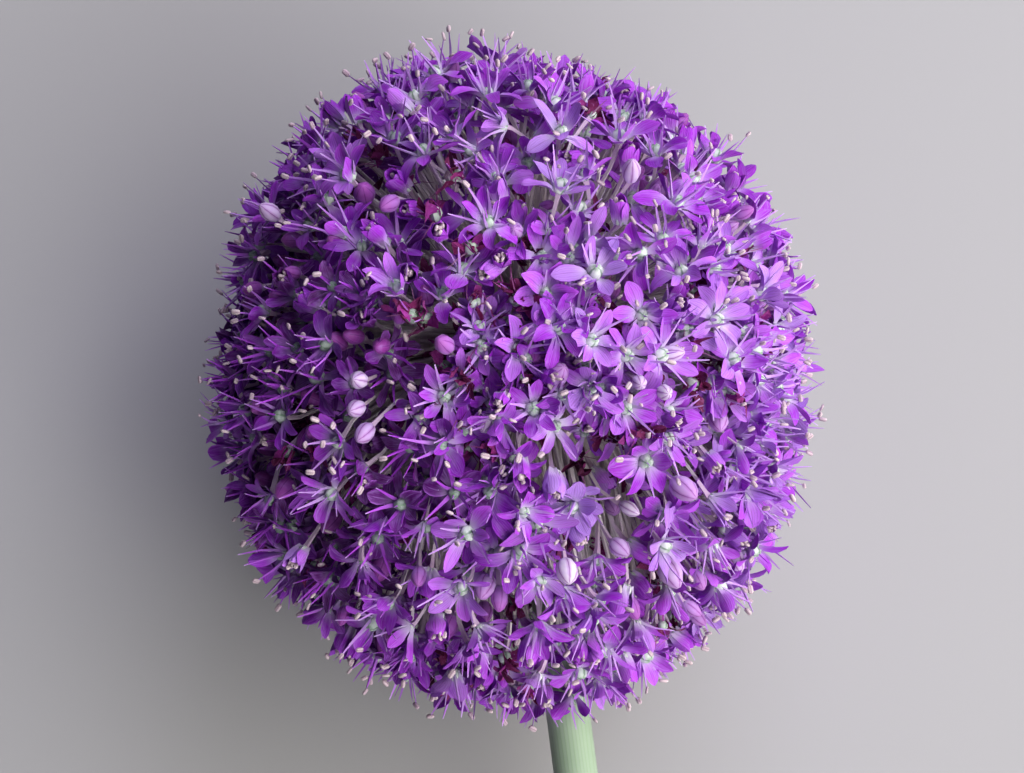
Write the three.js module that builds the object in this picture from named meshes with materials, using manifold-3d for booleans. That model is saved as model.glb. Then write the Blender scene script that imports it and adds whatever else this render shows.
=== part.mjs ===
// Giant allium: one cut bloom that lies on a surface.
// Millimetres, +Z up. The stalk points to -Y, and the head rests near +Y.
import * as THREE from "three";
import { mergeVertices } from "three/addons/utils/BufferGeometryUtils.js";
import Module from "manifold-3d";

const wasm = await Module();
wasm.setup();

// Driving dimensions
const HEAD_WIDTH = 126; // across the petal tips
const HEAD_LENGTH = 142; // along the stalk, over the petal tips
const HEAD_FULLNESS = 2.2; // 2 is an ellipsoid, more is fuller
const REST_HEIGHT = 57.5; // of the head's middle above the surface
const SCAPE_DIAMETER = 9.5;
const SCAPE_END_DISTANCE = 232; // from the head's middle, over the surface
const SCAPE_BOW = 2.5; // how far the stalk's middle rises above a straight line
const RECEPTACLE_RADIUS = 9;
const FLORET_COUNT = 100;
const FLORET_RADIUS = 12.8; // centre to tepal tip
const SEED = 20;

// Form of one floret, in floret radii
const CLAW_RADIUS = 0.125; // where the tepals leave the centre
const WIDEST_RADIUS = 0.82;
const WIDEST_ANGLE = THREE.MathUtils.degToRad(28.5);
const STAMEN_REACH = 0.85;
const STAMEN_SPREAD = 0.3;

// Thicknesses and clearances
const BLADE_THICKNESS = 0.8;
const PEDICEL_RADIUS = 0.75;
const NECK_DEPTH = 1.8;
const ROOT_RADIUS = 6.5; // the pedicels' roots, from the head's middle
const ROOT_ANGLE_LEAST = THREE.MathUtils.degToRad(62); // between a root and the stalk
const SEAT_GAP = 0.3; // between the stalk's top and the receptacle
const SCAPE_CLEARANCE = 15.5; // from the stalk's axis to a floret's centre

// How the florets vary
const LAYER_INSETS = [0, 4.5, 1.5, 6.5]; // below the envelope, in turn
const INSET_JITTER = 1.2;
const TILT_MOST = THREE.MathUtils.degToRad(16);
const SIZE_VARIATION = 0.08;
const OUTER_WHORL_RISE = Math.tan(THREE.MathUtils.degToRad(8));
const INNER_WHORL_RISE = Math.tan(THREE.MathUtils.degToRad(22));
const SPREAD_VARIATION = 0.12;

const TEPALS = 6;
const PEDICEL_SIDES = 3;
const RECEPTACLE_SIDES = 12;
const SCAPE_STEPS = 8;
const SCAPE_HALF_SIDES = 12;
const SECTOR = (2 * Math.PI) / TEPALS;
const GOLDEN_ANGLE = Math.PI * (3 - Math.sqrt(5));
const MERGE_STEP = 1e-4;
const DOWN = new THREE.Vector3(0, 0, -1);

const HEAD_MIDDLE = new THREE.Vector3(0, 0, REST_HEIGHT);
const SCAPE_END = new THREE.Vector3(0, -SCAPE_END_DISTANCE, SCAPE_DIAMETER / 2);
const SCAPE_DIRECTION = SCAPE_END.clone().sub(HEAD_MIDDLE).normalize();

// A seeded random number from 0 to 1
let randomState = SEED;
function random() {
  randomState = (randomState + 0x6d2b79f5) | 0;
  let mixed = Math.imul(randomState ^ (randomState >>> 15), 1 | randomState);
  mixed = (mixed + Math.imul(mixed ^ (mixed >>> 7), 61 | mixed)) ^ mixed;
  return ((mixed ^ (mixed >>> 14)) >>> 0) / 4294967296;
}

function randomBetween(low, high) {
  return low + (high - low) * random();
}

// Distance from the head's middle to the petal tips in a direction
function envelopeRadius(direction) {
  const along = Math.abs(direction.dot(SCAPE_DIRECTION));
  const across = Math.sqrt(Math.max(0, 1 - along * along));
  const sum =
    Math.pow(along / (HEAD_LENGTH / 2), HEAD_FULLNESS) +
    Math.pow(across / (HEAD_WIDTH / 2), HEAD_FULLNESS);
  return Math.pow(sum, -1 / HEAD_FULLNESS);
}

// Where a pedicel starts inside the receptacle: the lowest ones spring from its sides
function pedicelRoot(direction) {
  const angle = direction.angleTo(SCAPE_DIRECTION);
  const rootAngle = ROOT_ANGLE_LEAST + angle * (1 - ROOT_ANGLE_LEAST / Math.PI);
  const aside = direction.clone().addScaledVector(SCAPE_DIRECTION, -Math.cos(angle)).normalize();
  return HEAD_MIDDLE.clone()
    .addScaledVector(SCAPE_DIRECTION, ROOT_RADIUS * Math.cos(rootAngle))
    .addScaledVector(aside, ROOT_RADIUS * Math.sin(rootAngle));
}

// Directions spread evenly over the sphere, the first one straight down
function floretDirection(index) {
  const z = index === 0 ? -1 : -1 + (2 * index + 0.6) / FLORET_COUNT;
  const ring = Math.sqrt(Math.max(0, 1 - z * z));
  const angle = index * GOLDEN_ANGLE;
  return new THREE.Vector3(ring * Math.cos(angle), ring * Math.sin(angle), z);
}

// Solids from closed geometry and back
function solidOf(geometry) {
  const bare = geometry.clone();
  bare.deleteAttribute("normal");
  bare.deleteAttribute("uv");
  const merged = mergeVertices(bare, MERGE_STEP);
  return new wasm.Manifold(
    new wasm.Mesh({
      numProp: 3,
      vertProperties: merged.attributes.position.array,
      triVerts: new Uint32Array(merged.index.array),
    }),
  );
}

function geometryOf(solid) {
  const mesh = solid.getMesh();
  const geometry = new THREE.BufferGeometry();
  const positions = new Float32Array(mesh.vertProperties);
  geometry.setAttribute("position", new THREE.BufferAttribute(positions, 3));
  geometry.setIndex(new THREE.BufferAttribute(new Uint32Array(mesh.triVerts), 1));
  const faceted = geometry.toNonIndexed();
  faceted.computeVertexNormals();
  return faceted;
}

// One body: the largest piece, without loose scraps and sealed hollows
function largestBody(solid) {
  const bodies = solid.decompose();
  bodies.sort((one, other) => other.volume() - one.volume());
  return bodies[0];
}

// A point of the floret in its own frame: the petals spread in x and y, and face z
function polar(radius, angle, height) {
  return new THREE.Vector3(radius * Math.cos(angle), radius * Math.sin(angle), height);
}

// The floret's corners before it is placed
function floretCorners({ size, rises, stamenReach }) {
  const half = BLADE_THICKNESS / 2;
  const claw = CLAW_RADIUS * size;
  const corners = { top: [], under: [], left: [], right: [] };
  Object.assign(corners, { tipTop: [], tipUnder: [], stamens: [], neck: [] });
  for (let k = 0; k < TEPALS; k++) {
    const middle = k * SECTOR;
    const rise = rises[k];
    const widest = WIDEST_RADIUS * size;
    corners.top.push(polar(claw, middle - SECTOR / 2, half));
    corners.under.push(polar(claw, middle - SECTOR / 2, -half));
    corners.left.push(polar(widest, middle - WIDEST_ANGLE, rise * widest));
    corners.right.push(polar(widest, middle + WIDEST_ANGLE, rise * widest));
    corners.tipTop.push(polar(size, middle, rise * size + half));
    corners.tipUnder.push(polar(size, middle, rise * size - half));
  }
  for (let k = 0; k < TEPALS; k += 2) {
    const lean = STAMEN_SPREAD * stamenReach;
    corners.stamens.push(polar(lean, k * SECTOR, half + stamenReach));
  }
  for (let i = 0; i < PEDICEL_SIDES; i++) {
    corners.neck.push(polar(PEDICEL_RADIUS, 2 * i * SECTOR + SECTOR / 2, -NECK_DEPTH));
  }
  corners.centre = new THREE.Vector3(0, 0, half);
  return corners;
}

// Moves every corner of the floret by the same rule
function mapCorners(corners, move) {
  for (const value of Object.values(corners)) {
    for (const point of Array.isArray(value) ? value : [value]) {
      move(point);
    }
  }
}

// Lowest corner of the floret, apart from the stamens, which give way
function lowestBlade(corners) {
  const blades = [corners.tipTop, corners.tipUnder, corners.left, corners.right, corners.top].flat();
  return Math.min(...blades.map((point) => point.z));
}

// Faces of one tepal: a blade with a thick middle, and thin edges where it is widest
function tepalFaces(c, k) {
  const next = (k + 1) % TEPALS;
  return [
    [c.top[k], c.left[k], c.tipTop[k]],
    [c.top[k], c.tipTop[k], c.top[next]],
    [c.top[next], c.tipTop[k], c.right[k]],
    [c.under[k], c.tipUnder[k], c.left[k]],
    [c.under[k], c.under[next], c.tipUnder[k]],
    [c.under[next], c.right[k], c.tipUnder[k]],
    [c.left[k], c.top[k], c.under[k]],
    [c.top[next], c.right[k], c.under[next]],
    [c.tipTop[k], c.left[k], c.tipUnder[k]],
    [c.right[k], c.tipTop[k], c.tipUnder[k]],
  ];
}

// Faces of the middle: three pointed stamens above
function stamenFaces(c) {
  return c.stamens.flatMap((tip, j) => {
    const [one, two, three] = [2 * j, 2 * j + 1, (2 * j + 2) % TEPALS].map((k) => c.top[k]);
    return [
      [c.centre, one, tip],
      [one, two, tip],
      [two, three, tip],
      [three, c.centre, tip],
    ];
  });
}

// Faces of the pedicel: three sides, from the floret's underside to the root
function pedicelFaces(c, root) {
  const faces = [];
  for (let i = 0; i < PEDICEL_SIDES; i++) {
    const next = (i + 1) % PEDICEL_SIDES;
    const [one, two, three] = [2 * i, 2 * i + 1, (2 * i + 2) % TEPALS].map((k) => c.under[k]);
    faces.push([two, one, c.neck[i]]);
    faces.push([three, two, c.neck[i]]);
    faces.push([three, c.neck[i], c.neck[next]]);
    faces.push([c.neck[next], c.neck[i], root[i]]);
    faces.push([c.neck[next], root[i], root[next]]);
  }
  faces.push([root[0], root[2], root[1]]);
  return faces;
}

// One floret with its stamens and its pedicel, as one closed solid
function floretSolid(corners, rootMiddle) {
  const neckMiddle = new THREE.Vector3();
  corners.neck.forEach((point) => neckMiddle.addScaledVector(point, 1 / PEDICEL_SIDES));
  const root = corners.neck.map((point) => point.clone().sub(neckMiddle).add(rootMiddle));
  const faces = [...stamenFaces(corners), ...pedicelFaces(corners, root)];
  for (let k = 0; k < TEPALS; k++) {
    faces.push(...tepalFaces(corners, k));
  }
  const geometry = new THREE.BufferGeometry().setFromPoints(faces.flat());
  return solidOf(geometry);
}

// The turn that faces a floret outwards, tilted and twisted
function floretTurn(direction, tilt, tiltHeading, twist) {
  const facing = new THREE.Quaternion().setFromUnitVectors(new THREE.Vector3(0, 0, 1), direction);
  const tiltAxis = new THREE.Vector3(Math.cos(tiltHeading), Math.sin(tiltHeading), 0);
  const tilting = new THREE.Quaternion().setFromAxisAngle(tiltAxis, tilt);
  const twisting = new THREE.Quaternion().setFromAxisAngle(new THREE.Vector3(0, 0, 1), twist);
  return facing.multiply(tilting).multiply(twisting);
}

// The floret that the head rests on: pressed flat, its face on the surface
function restingFloret() {
  const size = FLORET_RADIUS;
  const corners = floretCorners({ size, rises: Array(TEPALS).fill(0), stamenReach: 0 });
  const half = BLADE_THICKNESS / 2;
  [corners.left, corners.right].flat().forEach((point) => point.setZ(half));
  const turn = floretTurn(DOWN, 0, 0, 0);
  mapCorners(corners, (point) => {
    point.applyQuaternion(turn);
    point.z += half;
  });
  return floretSolid(corners, pedicelRoot(DOWN));
}

// A floret on the envelope, slid in along its pedicel until it clears the surface
function floretAt(index) {
  const direction = floretDirection(index);
  const size = FLORET_RADIUS * (1 + randomBetween(-SIZE_VARIATION, SIZE_VARIATION));
  const spread = randomBetween(-SPREAD_VARIATION, SPREAD_VARIATION);
  const rises = [];
  for (let k = 0; k < TEPALS; k++) {
    rises.push((k % 2 ? INNER_WHORL_RISE : OUTER_WHORL_RISE) + spread);
  }
  const corners = floretCorners({ size, rises, stamenReach: STAMEN_REACH * size });
  const tilt = randomBetween(0, TILT_MOST);
  const turn = floretTurn(direction, tilt, randomBetween(0, 2 * Math.PI), randomBetween(0, SECTOR));
  const inset = LAYER_INSETS[index % LAYER_INSETS.length] + randomBetween(0, INSET_JITTER);
  const tipRise = size * (OUTER_WHORL_RISE + INNER_WHORL_RISE) / 2;
  const distance = envelopeRadius(direction) - tipRise - inset;
  const middle = HEAD_MIDDLE.clone().addScaledVector(direction, distance);
  const axisDistance = direction.clone().cross(SCAPE_DIRECTION).length() * distance;
  if (direction.dot(SCAPE_DIRECTION) > 0 && axisDistance < SCAPE_CLEARANCE) {
    return null;
  }
  mapCorners(corners, (point) => point.applyQuaternion(turn).add(middle));
  const sunk = Math.max(0, -lowestBlade(corners));
  const slide = direction.clone().multiplyScalar(sunk > 0 ? sunk / direction.z : 0);
  mapCorners(corners, (point) => {
    point.add(slide);
    point.z = Math.max(0, point.z);
  });
  return floretSolid(corners, pedicelRoot(direction));
}

// The swollen top of the stalk that all pedicels grow from, flat where the stalk meets it
function receptacleSolid() {
  const r = RECEPTACLE_RADIUS;
  const profile = [
    [0, -r],
    [0.55 * r, -r],
    [0.95 * r, -0.45 * r],
    [r, 0.1 * r],
    [0.75 * r, 0.7 * r],
    [0, r],
  ].map(([radius, height]) => new THREE.Vector2(radius, height));
  const geometry = new THREE.LatheGeometry(profile, RECEPTACLE_SIDES);
  const upright = new THREE.Vector3(0, 1, 0);
  const turn = new THREE.Quaternion().setFromUnitVectors(upright, SCAPE_DIRECTION.clone().negate());
  geometry.applyQuaternion(turn);
  geometry.translate(...HEAD_MIDDLE.toArray());
  return solidOf(geometry);
}

// Receptacle, pedicels and florets, grown together
function umbelGeometry() {
  let umbel = receptacleSolid().add(restingFloret());
  for (let index = 1; index < FLORET_COUNT; index++) {
    const floret = floretAt(index);
    if (floret) {
      umbel = umbel.add(floret);
    }
  }
  return geometryOf(largestBody(umbel));
}

// The stalk: a smooth round tube from the receptacle to its cut end on the surface
function scapeGeometry() {
  const start = HEAD_MIDDLE.clone().addScaledVector(SCAPE_DIRECTION, RECEPTACLE_RADIUS + SEAT_GAP);
  const bend = start.clone().lerp(SCAPE_END, 0.5);
  bend.z += 2 * SCAPE_BOW;
  const path = new THREE.QuadraticBezierCurve3(start, bend, SCAPE_END);
  const section = new THREE.Shape().absarc(0, 0, SCAPE_DIAMETER / 2, 0, 2 * Math.PI);
  const geometry = new THREE.ExtrudeGeometry(section, {
    steps: SCAPE_STEPS,
    curveSegments: SCAPE_HALF_SIDES,
    extrudePath: path,
  });
  geometry.computeBoundingBox();
  geometry.translate(0, 0, -geometry.boundingBox.min.z); // the cut end's rim is on the surface
  return geometry;
}

function namedMesh(name, geometry, material) {
  const mesh = new THREE.Mesh(geometry, material);
  mesh.name = name;
  return mesh;
}

const petalLilac = new THREE.MeshStandardMaterial({ color: 0x8f4fc0, roughness: 0.55, metalness: 0 });
const stalkGreen = new THREE.MeshStandardMaterial({ color: 0xa8c795, roughness: 0.45, metalness: 0 });

const allium = new THREE.Group();
allium.name = "giant_allium";
allium.add(namedMesh("umbel", umbelGeometry(), petalLilac));
allium.add(namedMesh("scape", scapeGeometry(), stalkGreen));

// The origin is under the middle of the whole flower, on the surface
const box = new THREE.Box3().setFromObject(allium);
const middle = box.getCenter(new THREE.Vector3());
allium.position.set(-middle.x, -middle.y, -box.min.z);

export default allium;
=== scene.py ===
"""Giant allium bloom: the looks of the cut flower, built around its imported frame."""

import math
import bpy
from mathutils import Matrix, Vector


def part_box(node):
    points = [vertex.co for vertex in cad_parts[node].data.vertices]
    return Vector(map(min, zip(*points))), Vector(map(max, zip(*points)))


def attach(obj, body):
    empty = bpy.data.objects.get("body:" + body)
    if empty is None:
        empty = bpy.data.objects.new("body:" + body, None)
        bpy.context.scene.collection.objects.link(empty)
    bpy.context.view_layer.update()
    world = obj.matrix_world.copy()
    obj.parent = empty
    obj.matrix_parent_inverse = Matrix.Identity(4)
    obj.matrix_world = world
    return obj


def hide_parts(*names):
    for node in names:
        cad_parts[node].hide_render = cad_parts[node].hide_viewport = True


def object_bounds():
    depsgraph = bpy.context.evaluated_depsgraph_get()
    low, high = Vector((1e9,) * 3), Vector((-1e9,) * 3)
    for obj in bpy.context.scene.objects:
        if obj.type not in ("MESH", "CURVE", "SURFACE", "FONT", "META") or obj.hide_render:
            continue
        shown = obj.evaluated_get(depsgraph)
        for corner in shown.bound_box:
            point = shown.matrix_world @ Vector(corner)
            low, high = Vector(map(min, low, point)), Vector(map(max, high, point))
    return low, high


bl_info = {
    "name": "Giant allium bloom",
    "version": (1, 0, 0),
    "blender": (4, 5, 0),
    "location": "3D View > Sidebar > Allium",
    "description": "Builds the florets, stalks and stem of a giant allium around its frame",
    "category": "Object",
}

import bmesh
import bpy
import numpy as np
from mathutils import Matrix, Vector

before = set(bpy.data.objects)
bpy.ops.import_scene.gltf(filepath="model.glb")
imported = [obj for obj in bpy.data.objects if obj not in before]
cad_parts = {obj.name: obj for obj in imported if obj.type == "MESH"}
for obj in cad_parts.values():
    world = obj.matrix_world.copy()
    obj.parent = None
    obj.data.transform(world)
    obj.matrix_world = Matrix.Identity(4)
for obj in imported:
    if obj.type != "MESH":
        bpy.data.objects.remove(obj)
CAD_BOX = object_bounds()

SCAPE_LOW, SCAPE_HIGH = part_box("scape")
SCAPE_RADIUS = (SCAPE_HIGH.x - SCAPE_LOW.x) / 2
SCAPE_MIDDLE_X = (SCAPE_LOW.x + SCAPE_HIGH.x) / 2

MM = 0.001
ON_ROW = 1e-4  # how near a point of a unit shape lies to its row

# Middle of the stem's leaning cut end, in shares of the stem's radius: in from its furthest
# point, and above the surface
CUT_END_IN = 0.26
CUT_END_UP = 0.9655

SIDE_VIEW_TURN = math.radians(7.4)  # how far the stem leans in the picture
PICTURE_WIDTH_PX = 1024
PICTURE_HEIGHT_PX = 773
HEAD_MIDDLE_PX = (525, 383)
PIXELS_PER_METRE = 4650.0
LENS_MM = 85.0
SENSOR_MM = 36.0
CAMERA_DISTANCE = LENS_MM / SENSOR_MM * PICTURE_WIDTH_PX / PIXELS_PER_METRE

TONE_LEVELS = 16
TONE_COLUMNS = 4
CELL_MARGIN = 0.04

OPEN, CUP, BUD, WITHERED = range(4)

# Share of the florets, how deep they sit in millimetres, and how many of them are
# open, half open, buds and withered, for each layer of the head
LAYERS = (
    (0.41, 0.0, 3.6, (0.68, 0.14, 0.13, 0.05)),
    (0.34, 4.0, 9.0, (0.52, 0.17, 0.18, 0.13)),
    (0.25, 8.5, 18.0, (0.32, 0.18, 0.25, 0.25)),
)

# What stands out on the face of the head: millimetres to the right of and above its
# middle, kind, size and tone
FRONT_FLORETS = (
    (-32.5, 0.5, BUD, 0.92, 0.96),
    (-33.0, -5.8, BUD, 0.86, 0.86),
    (-31.0, -10.8, BUD, 0.96, 0.78),
    (-45.0, 36.0, BUD, 1.05, 0.86),
    (10.5, -41.5, BUD, 0.95, 1.00),
    (31.0, -2.0, BUD, 0.92, 0.98),
    (33.5, -22.8, BUD, 1.12, 0.72),
    (26.5, 0.5, BUD, 0.80, 0.90),
    (23.5, 43.0, BUD, 1.10, 0.84),
    (-13.5, 8.5, BUD, 1.06, 0.55),
    (-2.0, -3.5, CUP, 0.86, 0.62),
    (-13.8, 32.8, CUP, 0.96, 0.55),
    (-41.5, -36.5, CUP, 0.98, 0.92),
    (10.0, 51.0, OPEN, 1.08, 0.98),
    (10.0, 41.0, OPEN, 1.04, 0.94),
    (17.5, 24.5, OPEN, 1.12, 0.92),
    (17.0, 9.8, OPEN, 1.00, 0.90),
    (41.0, 14.0, OPEN, 1.02, 0.90),
    (-23.5, 21.5, OPEN, 1.06, 0.76),
    (-29.5, 43.0, OPEN, 1.02, 0.66),
    (31.0, -37.5, OPEN, 1.10, 0.94),
    (-9.5, -35.0, OPEN, 1.08, 0.78),
    (-10.5, -45.0, OPEN, 1.06, 0.80),
    (-37.5, -25.5, OPEN, 1.02, 0.68),
    (-37.0, -14.0, OPEN, 0.96, 0.58),
    (50.5, 19.5, OPEN, 1.04, 0.98),
    (-2.0, 70.0, OPEN, 1.12, 0.84),
    (-11.0, 68.5, OPEN, 1.06, 0.76),
    (-62.0, -9.0, OPEN, 1.10, 0.60),
)

# Patches of the face, in the same millimetres with their radius: thin ones, with how much
# painted light their florets get, painted shade where that is below nought, ones with many
# withered florets, and ones whose florets get painted shade
SPARSE_PATCHES_WITH_PAINTED_LIGHT = (
    (19.0, -22.0, 11.5, 0.44),
    (21.5, -33.0, 12.5, 0.42),
    (41.0, -6.5, 7.0, 0.10),
    (-25.5, -16.5, 7.5, -0.30),
    (-24.0, 4.0, 6.5, -0.30),
)
FADED_PATCHES = ((-13.0, 8.0, 28.0), (40.0, -5.0, 12.0), (-27.0, -12.0, 12.0))
# Patches whose florets get painted shade
PAINTED_SHADE_PATCHES = ((-28.0, 12.0, 19.0), (-27.0, -19.0, 17.0))

# The middle and the right of the face are filled up with smaller florets: how many, place
# and spread in the same millimetres, how deep they sit, and their kinds
MIDDLE_CROWD = (95, -1.0, 5.0, 15.0, (1.5, 10.0), (0.38, 0.22, 0.18, 0.22))
RIGHT_CROWD = (60, 43.0, 4.0, 15.0, (2.5, 8.0), (0.60, 0.14, 0.16, 0.10))

DEEP_FROM = 3.8 * MM  # florets that sit deeper than this have simpler parts
HIDDEN_FROM = 6 * MM  # florets that sit deeper than this may stand behind those in front
SPARSE_LOSS = 0.88  # share of the florets that the middle of a thin patch loses
SPARSE_SINK_MM = 3  # how much deeper the ones that are left sit there
TIP_RISE_MM = 2.4  # how far the tepal tips stand above their floret's middle

DEEP_FILAMENTS = 0.55  # share of the filaments that deep florets have
ANTHERS_LEFT = 0.30  # share of the anthers that haven't fallen from open florets

FRONT_ROOM = 0.076  # angle that a floret of the face keeps free around itself, in radians
STEM_ROOM = 8.5 * MM  # from the stem's middle to the nearest floret
FLAT_FLORET_ROOM = 2.6 * MM  # from a floret's middle to the surface, if it faces it
EDGE_FLORET_ROOM = 5.4 * MM  # what is added to that if the floret stands on edge

# A broad key light from the right, a softer one by the camera, and a little light from
# both ends: place in metres to the right of, above and in front of the head's middle,
# width, watts and colour
LIGHTS = (
    ("key_light", (1.05, 0.05, 0.66), 1.80, 17.6, (1.0, 0.97, 0.88)),
    ("front_light", (0.94, -0.05, 1.00), 1.60, 13.0, (1.0, 0.98, 0.90)),
    ("low_light", (0.52, -0.70, 0.80), 0.90, 7.9, (0.94, 0.94, 1.0)),
    ("top_light", (0.38, 0.85, 0.58), 0.90, 10.2, (0.82, 0.80, 1.0)),
)
AIR_COLOUR = (0.62, 0.56, 1.00, 1)
AIR_STRENGTH = 0.062


# Sizes and colours that a user would change


def length_property(name, description, value):
    """A length in metres with its name and what it is for."""
    return bpy.props.FloatProperty(name=name, description=description, default=value, unit="LENGTH")


def colour_property(name, description, value):
    """A linear colour with its name and what it is for."""
    return bpy.props.FloatVectorProperty(
        name=name, description=description, default=value, subtype="COLOR", size=4, min=0.0, max=1.0
    )


class AlliumHead(bpy.types.PropertyGroup):
    """The round head and how its florets are spread."""

    width: length_property("Head width", "Across the tepal tips", 0.1245)
    length: length_property("Head length", "Along the stem, over the tepal tips", 0.1385)
    fullness: bpy.props.FloatProperty(
        name="Fullness", description="2 is an ellipsoid, more is fuller", default=2.2
    )
    rest_height: length_property("Resting height", "Head's middle above the surface", 0.0575)
    stem_reach: length_property("Stem reach", "From the head's middle to the cut end", 0.23325)
    florets: bpy.props.IntProperty(
        name="Florets", description="Places for florets and buds on the head", default=1720
    )
    offset: length_property("Offset", "Head's middle beside the stem's line", -0.0030)
    lean: bpy.props.FloatProperty(
        name="Lean",
        description="How far the head's top leans to the left for its height",
        default=0.02,
    )
    seed: bpy.props.IntProperty(name="Seed", description="Start of every random draw", default=11)


class AlliumFloret(bpy.types.PropertyGroup):
    """The parts of one floret."""

    tepal_length: length_property("Tepal length", "Base to tip", 0.0069)
    tepal_width: length_property("Tepal width", "At its widest", 0.0032)
    filament_length: length_property("Filament length", "Base to anther", 0.0074)
    anther_length: length_property("Anther length", "End to end", 0.0017)
    ovary_width: length_property("Ovary width", "Across its lobes", 0.0029)
    bud_length: length_property("Bud length", "Base to tip", 0.0054)
    stalk_width: length_property("Pedicel width", "Thickness of a floret's stalk", 0.00092)


class AlliumStem(bpy.types.PropertyGroup):
    """The stem and the receptacle that the pedicels grow from."""

    width: length_property("Stem width", "Thickness below the head", 0.0095)
    bow: length_property("Stem bow", "Rise of its middle over a straight line", 0.0025)
    receptacle: length_property("Receptacle radius", "Swollen top of the stem", 0.0088)


class AlliumColours(bpy.types.PropertyGroup):
    """Base colours of the flower, as linear values."""

    # Deep tepal is also the colour that the painted shade in the florets' tone reaches
    tepal_deep: colour_property("Deep tepal", "Darkest florets", (0.092, 0.004, 0.126, 1))
    tepal_middle: colour_property("Tepal", "Most florets", (0.398, 0.034, 0.640, 1))
    tepal_light: colour_property("Light tepal", "Palest florets", (0.475, 0.252, 0.742, 1))
    claw: colour_property("Claw", "Pale base of a tepal", (0.590, 0.500, 0.710, 1))
    anther: colour_property("Anther", "Powdery anthers", (0.610, 0.480, 0.510, 1))
    ovary: colour_property("Ovary", "Lobes of the ovary", (0.580, 0.700, 0.590, 1))
    bud: colour_property("Bud", "Pale side of the buds", (0.560, 0.390, 0.680, 1))
    pedicel: colour_property("Pedicel", "Pale part of a floret's stalk", (0.870, 0.810, 0.760, 1))
    withered: colour_property("Withered", "Faded florets", (0.175, 0.010, 0.086, 1))
    stem: colour_property("Stem", "Smooth green stem", (0.285, 0.390, 0.262, 1))
    floor: colour_property("Floor", "Pale studio floor", (0.400, 0.398, 0.392, 1))


# Directions of the picture: the camera looks straight at the side of the head


def stem_direction(head):
    """From the head's middle towards the stem's cut end."""
    back = SCAPE_RADIUS * CUT_END_IN - head.stem_reach
    return Vector((0, back, SCAPE_RADIUS - head.rest_height)).normalized()


def head_middle(head):
    """Middle of the head, where the stem ends."""
    return Vector((SCAPE_MIDDLE_X, SCAPE_LOW.y + head.stem_reach, head.rest_height))


def picture_axes(head):
    """Right, up and towards the camera, as seen in the picture."""
    down = stem_direction(head)
    right = Vector((1, 0, 0))
    up = -down
    towards = right.cross(up)
    turned_up = up * math.cos(SIDE_VIEW_TURN) + right * math.sin(SIDE_VIEW_TURN)
    turned_right = right * math.cos(SIDE_VIEW_TURN) - up * math.sin(SIDE_VIEW_TURN)
    return turned_right, turned_up, towards


# Selecting and shaping in edit mode


def deselect_all():
    """Leaves nothing selected and no object in edit mode."""
    if bpy.context.object and bpy.context.object.mode != "OBJECT":
        bpy.ops.object.mode_set(mode="OBJECT")
    bpy.ops.object.select_all(action="DESELECT")


def select_points(piece, test):
    """In edit mode, selects the points whose place passes the test."""
    shape = bmesh.from_edit_mesh(piece.data)
    shape.select_mode = {"VERT"}
    for point in shape.verts:
        point.select = bool(test(point.co))
    shape.select_flush_mode()
    bmesh.update_edit_mesh(piece.data)


def add_tube(name, sides, rows):
    """A closed tube of unit width along +Y from 0 to 1, cut into rows at the given places."""
    deselect_all()
    bpy.ops.mesh.primitive_cylinder_add(
        vertices=sides,
        radius=0.5,
        depth=1.0,
        end_fill_type="NGON",
        location=(0, 0.5, 0),
        rotation=(-math.pi / 2, 0, 0),
    )
    piece = bpy.context.object
    piece.name = name
    bpy.ops.object.transform_apply(location=True, rotation=True, scale=True)
    bpy.ops.object.mode_set(mode="EDIT")
    for place in rows[1:-1]:
        bpy.ops.mesh.select_all(action="SELECT")
        bpy.ops.mesh.bisect(plane_co=(0, place, 0), plane_no=(0, 1, 0))
    bpy.ops.object.mode_set(mode="OBJECT")
    return piece


def lay_out_map(piece, around):
    """Names the piece's map Along: across or around it in u, and along it in v."""
    mesh = piece.data
    while mesh.uv_layers:
        mesh.uv_layers.remove(mesh.uv_layers[0])
    layer = mesh.uv_layers.new(name="Along")
    for face in mesh.polygons:
        middle_angle = math.atan2(face.center.z, face.center.x)
        for corner in face.loop_indices:
            place = mesh.vertices[mesh.loops[corner].vertex_index].co
            if around:
                angle = math.atan2(place.z, place.x) if place.xz.length > 1e-6 else middle_angle
                turns = round((middle_angle - angle) / (2 * math.pi))
                across = (angle + turns * 2 * math.pi) / (2 * math.pi) + 0.5
            else:
                across = place.x + 0.5
            layer.data[corner].uv = (across, place.y)


def shape_rows(piece, profile):
    """Gives each row of points its own width and thickness, in edit mode."""
    bpy.ops.object.mode_set(mode="EDIT")
    for place, width, thickness in profile:
        select_points(piece, lambda co: abs(co.y - place) < ON_ROW)
        bpy.ops.transform.resize(value=(width, 1, thickness))
    bpy.ops.object.mode_set(mode="OBJECT")


def raise_edges(piece, places, rise):
    """Lifts the two side edges, so that a blade is boat-shaped."""
    bpy.ops.object.mode_set(mode="EDIT")
    for place in places:
        for side in (-1, 1):
            row = [v.co.x * side for v in piece.data.vertices if abs(v.co.y - place) < ON_ROW]
            edge = max(row) - 0.1 * ON_ROW
            select_points(piece, lambda co: abs(co.y - place) < ON_ROW and co.x * side > edge)
            bpy.ops.transform.translate(value=(0, 0, rise))
    bpy.ops.object.mode_set(mode="OBJECT")


def column_angle(piece):
    """Angle round +Y of one column of points, from +X towards +Z."""
    row = [v.co for v in piece.data.vertices if v.co.xz.length > 1e-3]
    return math.atan2(row[0].z, row[0].x)


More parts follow.
